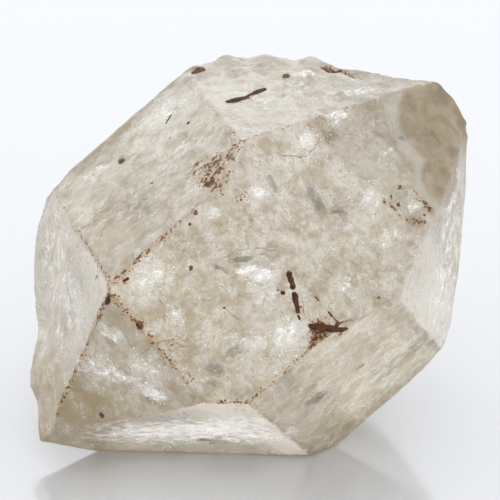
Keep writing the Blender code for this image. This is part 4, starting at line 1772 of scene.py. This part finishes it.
def add_rod(bm, sunk, wander_mm, width, *path):
    """Adds one ragged rod that follows the surface from place to place."""
    length = sum((point_on(*a) - point_on(*b)).length for a, b in zip(path, path[1:]))
    rings = max(LEAST_RINGS, round(length / ROD_RING_MM))
    rod = bmesh.new()
    bmesh.ops.create_cone(
        rod, cap_ends=True, segments=ROD_SIDES, radius1=1.0, radius2=1.0, depth=1.0
    )
    sides = [edge for edge in rod.edges if abs(edge.verts[0].co.z - edge.verts[1].co.z) > 0.5]
    bmesh.ops.subdivide_edges(rod, edges=sides, cuts=rings)
    rings_known = {}
    for vert in rod.verts:
        share = round(vert.co.z + 0.5, 4)
        if share not in rings_known:
            middle, normal = along_path(path, share)
            before = along_path(path, max(0.0, share - ROD_LOOK))[0]
            after = along_path(path, min(1.0, share + ROD_LOOK))[0]
            rings_known[share] = middle, normal, normal.cross(after - before).normalized()
        middle, normal, beside = rings_known[share]
        fade = min(1.0, ROD_END + ROD_TAPER * min(share, 1 - share))
        outward = vert.co.x * beside + vert.co.y * normal * ROD_HEIGHT
        wide = noise.noise(middle * WIDE_RAGGED_PER_MM)
        fine = noise.noise(middle * FINE_RAGGED_PER_MM + outward * RAGGED_AROUND)
        ragged = 1 + RAGGED * (wide + fine)
        shift = beside * (wander_mm * noise.noise(middle * WANDER_PER_MM + WANDER_PLACE))
        vert.co = middle + shift + outward * (width / 2 * fade * ragged)
        vert.co -= normal * (width / 2 * sunk)
    made = bpy.data.meshes.new("rod")
    rod.to_mesh(made)
    rod.free()
    bm.from_mesh(made)
    bpy.data.meshes.remove(made)


def add_speck(bm, face, right, along, radius):
    """Adds one uneven grain, half sunk in the surface."""
    made = bmesh.ops.create_icosphere(bm, subdivisions=2, radius=1.0)
    normal = FACES[face][0]
    middle = lifted(point_on(face, right, along), normal)
    for vert in made["verts"]:
        out = vert.co.dot(normal)
        flat = vert.co - normal * out
        uneven = 1 + SPECK_UNEVEN * noise.noise(vert.co * SPECK_UNEVEN_SCALE + middle)
        vert.co = middle + (flat + normal * (out * SPECK_PRESSED)) * (radius * uneven)


def rods_along(listed, sunk, wander_mm):
    """One mesh with a ragged rod along each listed path."""
    bm = bmesh.new()
    for width, *path in listed.values():
        add_rod(bm, sunk, wander_mm, width, *path)
    return bm


rod_mesh = rods_along(RODS, ROD_SUNK, ROD_WANDER_MM)
thread_mesh = rods_along(THREADS, THREAD_SUNK, THREAD_WANDER_MM)
speck_mesh = bmesh.new()
for speck in SPECKS:
    add_speck(speck_mesh, *speck)
for mesh in (rod_mesh, thread_mesh, speck_mesh):
    bmesh.ops.recalc_face_normals(mesh, faces=mesh.faces[:])
print("dark points:", [len(mesh.verts) for mesh in (rod_mesh, thread_mesh, speck_mesh)])

# %% Dark materials
DARKS = {  # tone between the crumbs, tone of the crumbs, crumbs per mm
    "dark rod": ((0.022, 0.009, 0.005, 1), (0.14, 0.052, 0.022, 1), 6.0),
    "rust thread": ((0.22, 0.15, 0.08, 1), (0.52, 0.42, 0.29, 1), 5.0),
    "dark speck": ((0.06, 0.026, 0.014, 1), (0.24, 0.13, 0.07, 1), 6.0),
}
DARK_ROUGHNESS = (0.45, 0.8)
DARK_RELIEF_MM, DARK_RELIEF_STRENGTH = 0.03, 0.6
DARK_SHEEN = 0.2


def make_dark(name):
    """Dull dark matter with a crumbly skin."""
    deep, pale, per_mm = DARKS[name]
    material, tree, shader = new_material(name)
    crumbs = from_group(tree, CRUMBS, Place=millimetres(tree), Per_mm=per_mm)
    feed(tree, shader.inputs["Base Color"], mixed(tree, crumbs, deep, pale))
    feed(tree, shader.inputs["Roughness"], fitted(tree, crumbs, 0.0, 1.0, *DARK_ROUGHNESS))
    relief = bumped(tree, crumbs, DARK_RELIEF_MM, DARK_RELIEF_STRENGTH)
    feed(tree, shader.inputs["Normal"], relief)
    shader.inputs["Specular IOR Level"].default_value = DARK_SHEEN
    return material


finish_inner("dark_rods", rod_mesh, make_dark("dark rod"))
finish_inner("rust_threads", thread_mesh, make_dark("rust thread"))
finish_inner("dark_specks", speck_mesh, make_dark("dark speck"))

# %% [markdown]
# ## Table and light
# The stone lies on glossy white plastic, which mirrors it softly. The room is one big pale
# glow, brighter behind the stone than in front, so that its light shines through the quartz.

# %% Table and light
TABLE_HALF_M = 2.0
TABLE_GAP_M = 0.00002  # the table lies this little under the stone
TABLE_TONE = (0.62, 0.63, 0.655, 1)
TABLE_BENDING = 2.6  # high, for a strong soft mirror
ROOM_TONE = (0.975, 0.985, 1.0, 1)
ROOM_GLOW = (1.25, 1.38)  # in front of the stone and behind it


def make_table():
    """A wide sheet of glossy white plastic."""
    bm = bmesh.new()
    bmesh.ops.create_grid(bm, x_segments=1, y_segments=1, size=TABLE_HALF_M)
    bmesh.ops.translate(bm, vec=(0, 0, -TABLE_GAP_M), verts=bm.verts[:])
    table = add_object("table", bm)
    material, tree, shader = new_material("glossy white table")
    haze = patches(tree, millimetres(tree), "haze of the table")
    feed(tree, shader.inputs["Roughness"], haze)
    shader.inputs["Base Color"].default_value = TABLE_TONE
    shader.inputs["IOR"].default_value = TABLE_BENDING
    table.data.materials.append(material)


def make_light():
    """A room that glows all round, and more behind the stone."""
    world = bpy.data.worlds.new("studio")
    world.use_nodes = True
    tree = world.node_tree
    place = tree.nodes.new("ShaderNodeTexCoord")
    parts = tree.nodes.new("ShaderNodeSeparateXYZ")
    tree.links.new(place.outputs["Generated"], parts.inputs["Vector"])
    glow = fitted(tree, parts.outputs["Y"], -1.0, 1.0, *ROOM_GLOW)
    tree.links.new(glow, tree.nodes["Background"].inputs["Strength"])
    tree.nodes["Background"].inputs["Color"].default_value = ROOM_TONE
    bpy.context.scene.world = world
    bpy.context.scene.view_settings.view_transform = "Standard"


make_table()
make_light()
print("table and light ready")
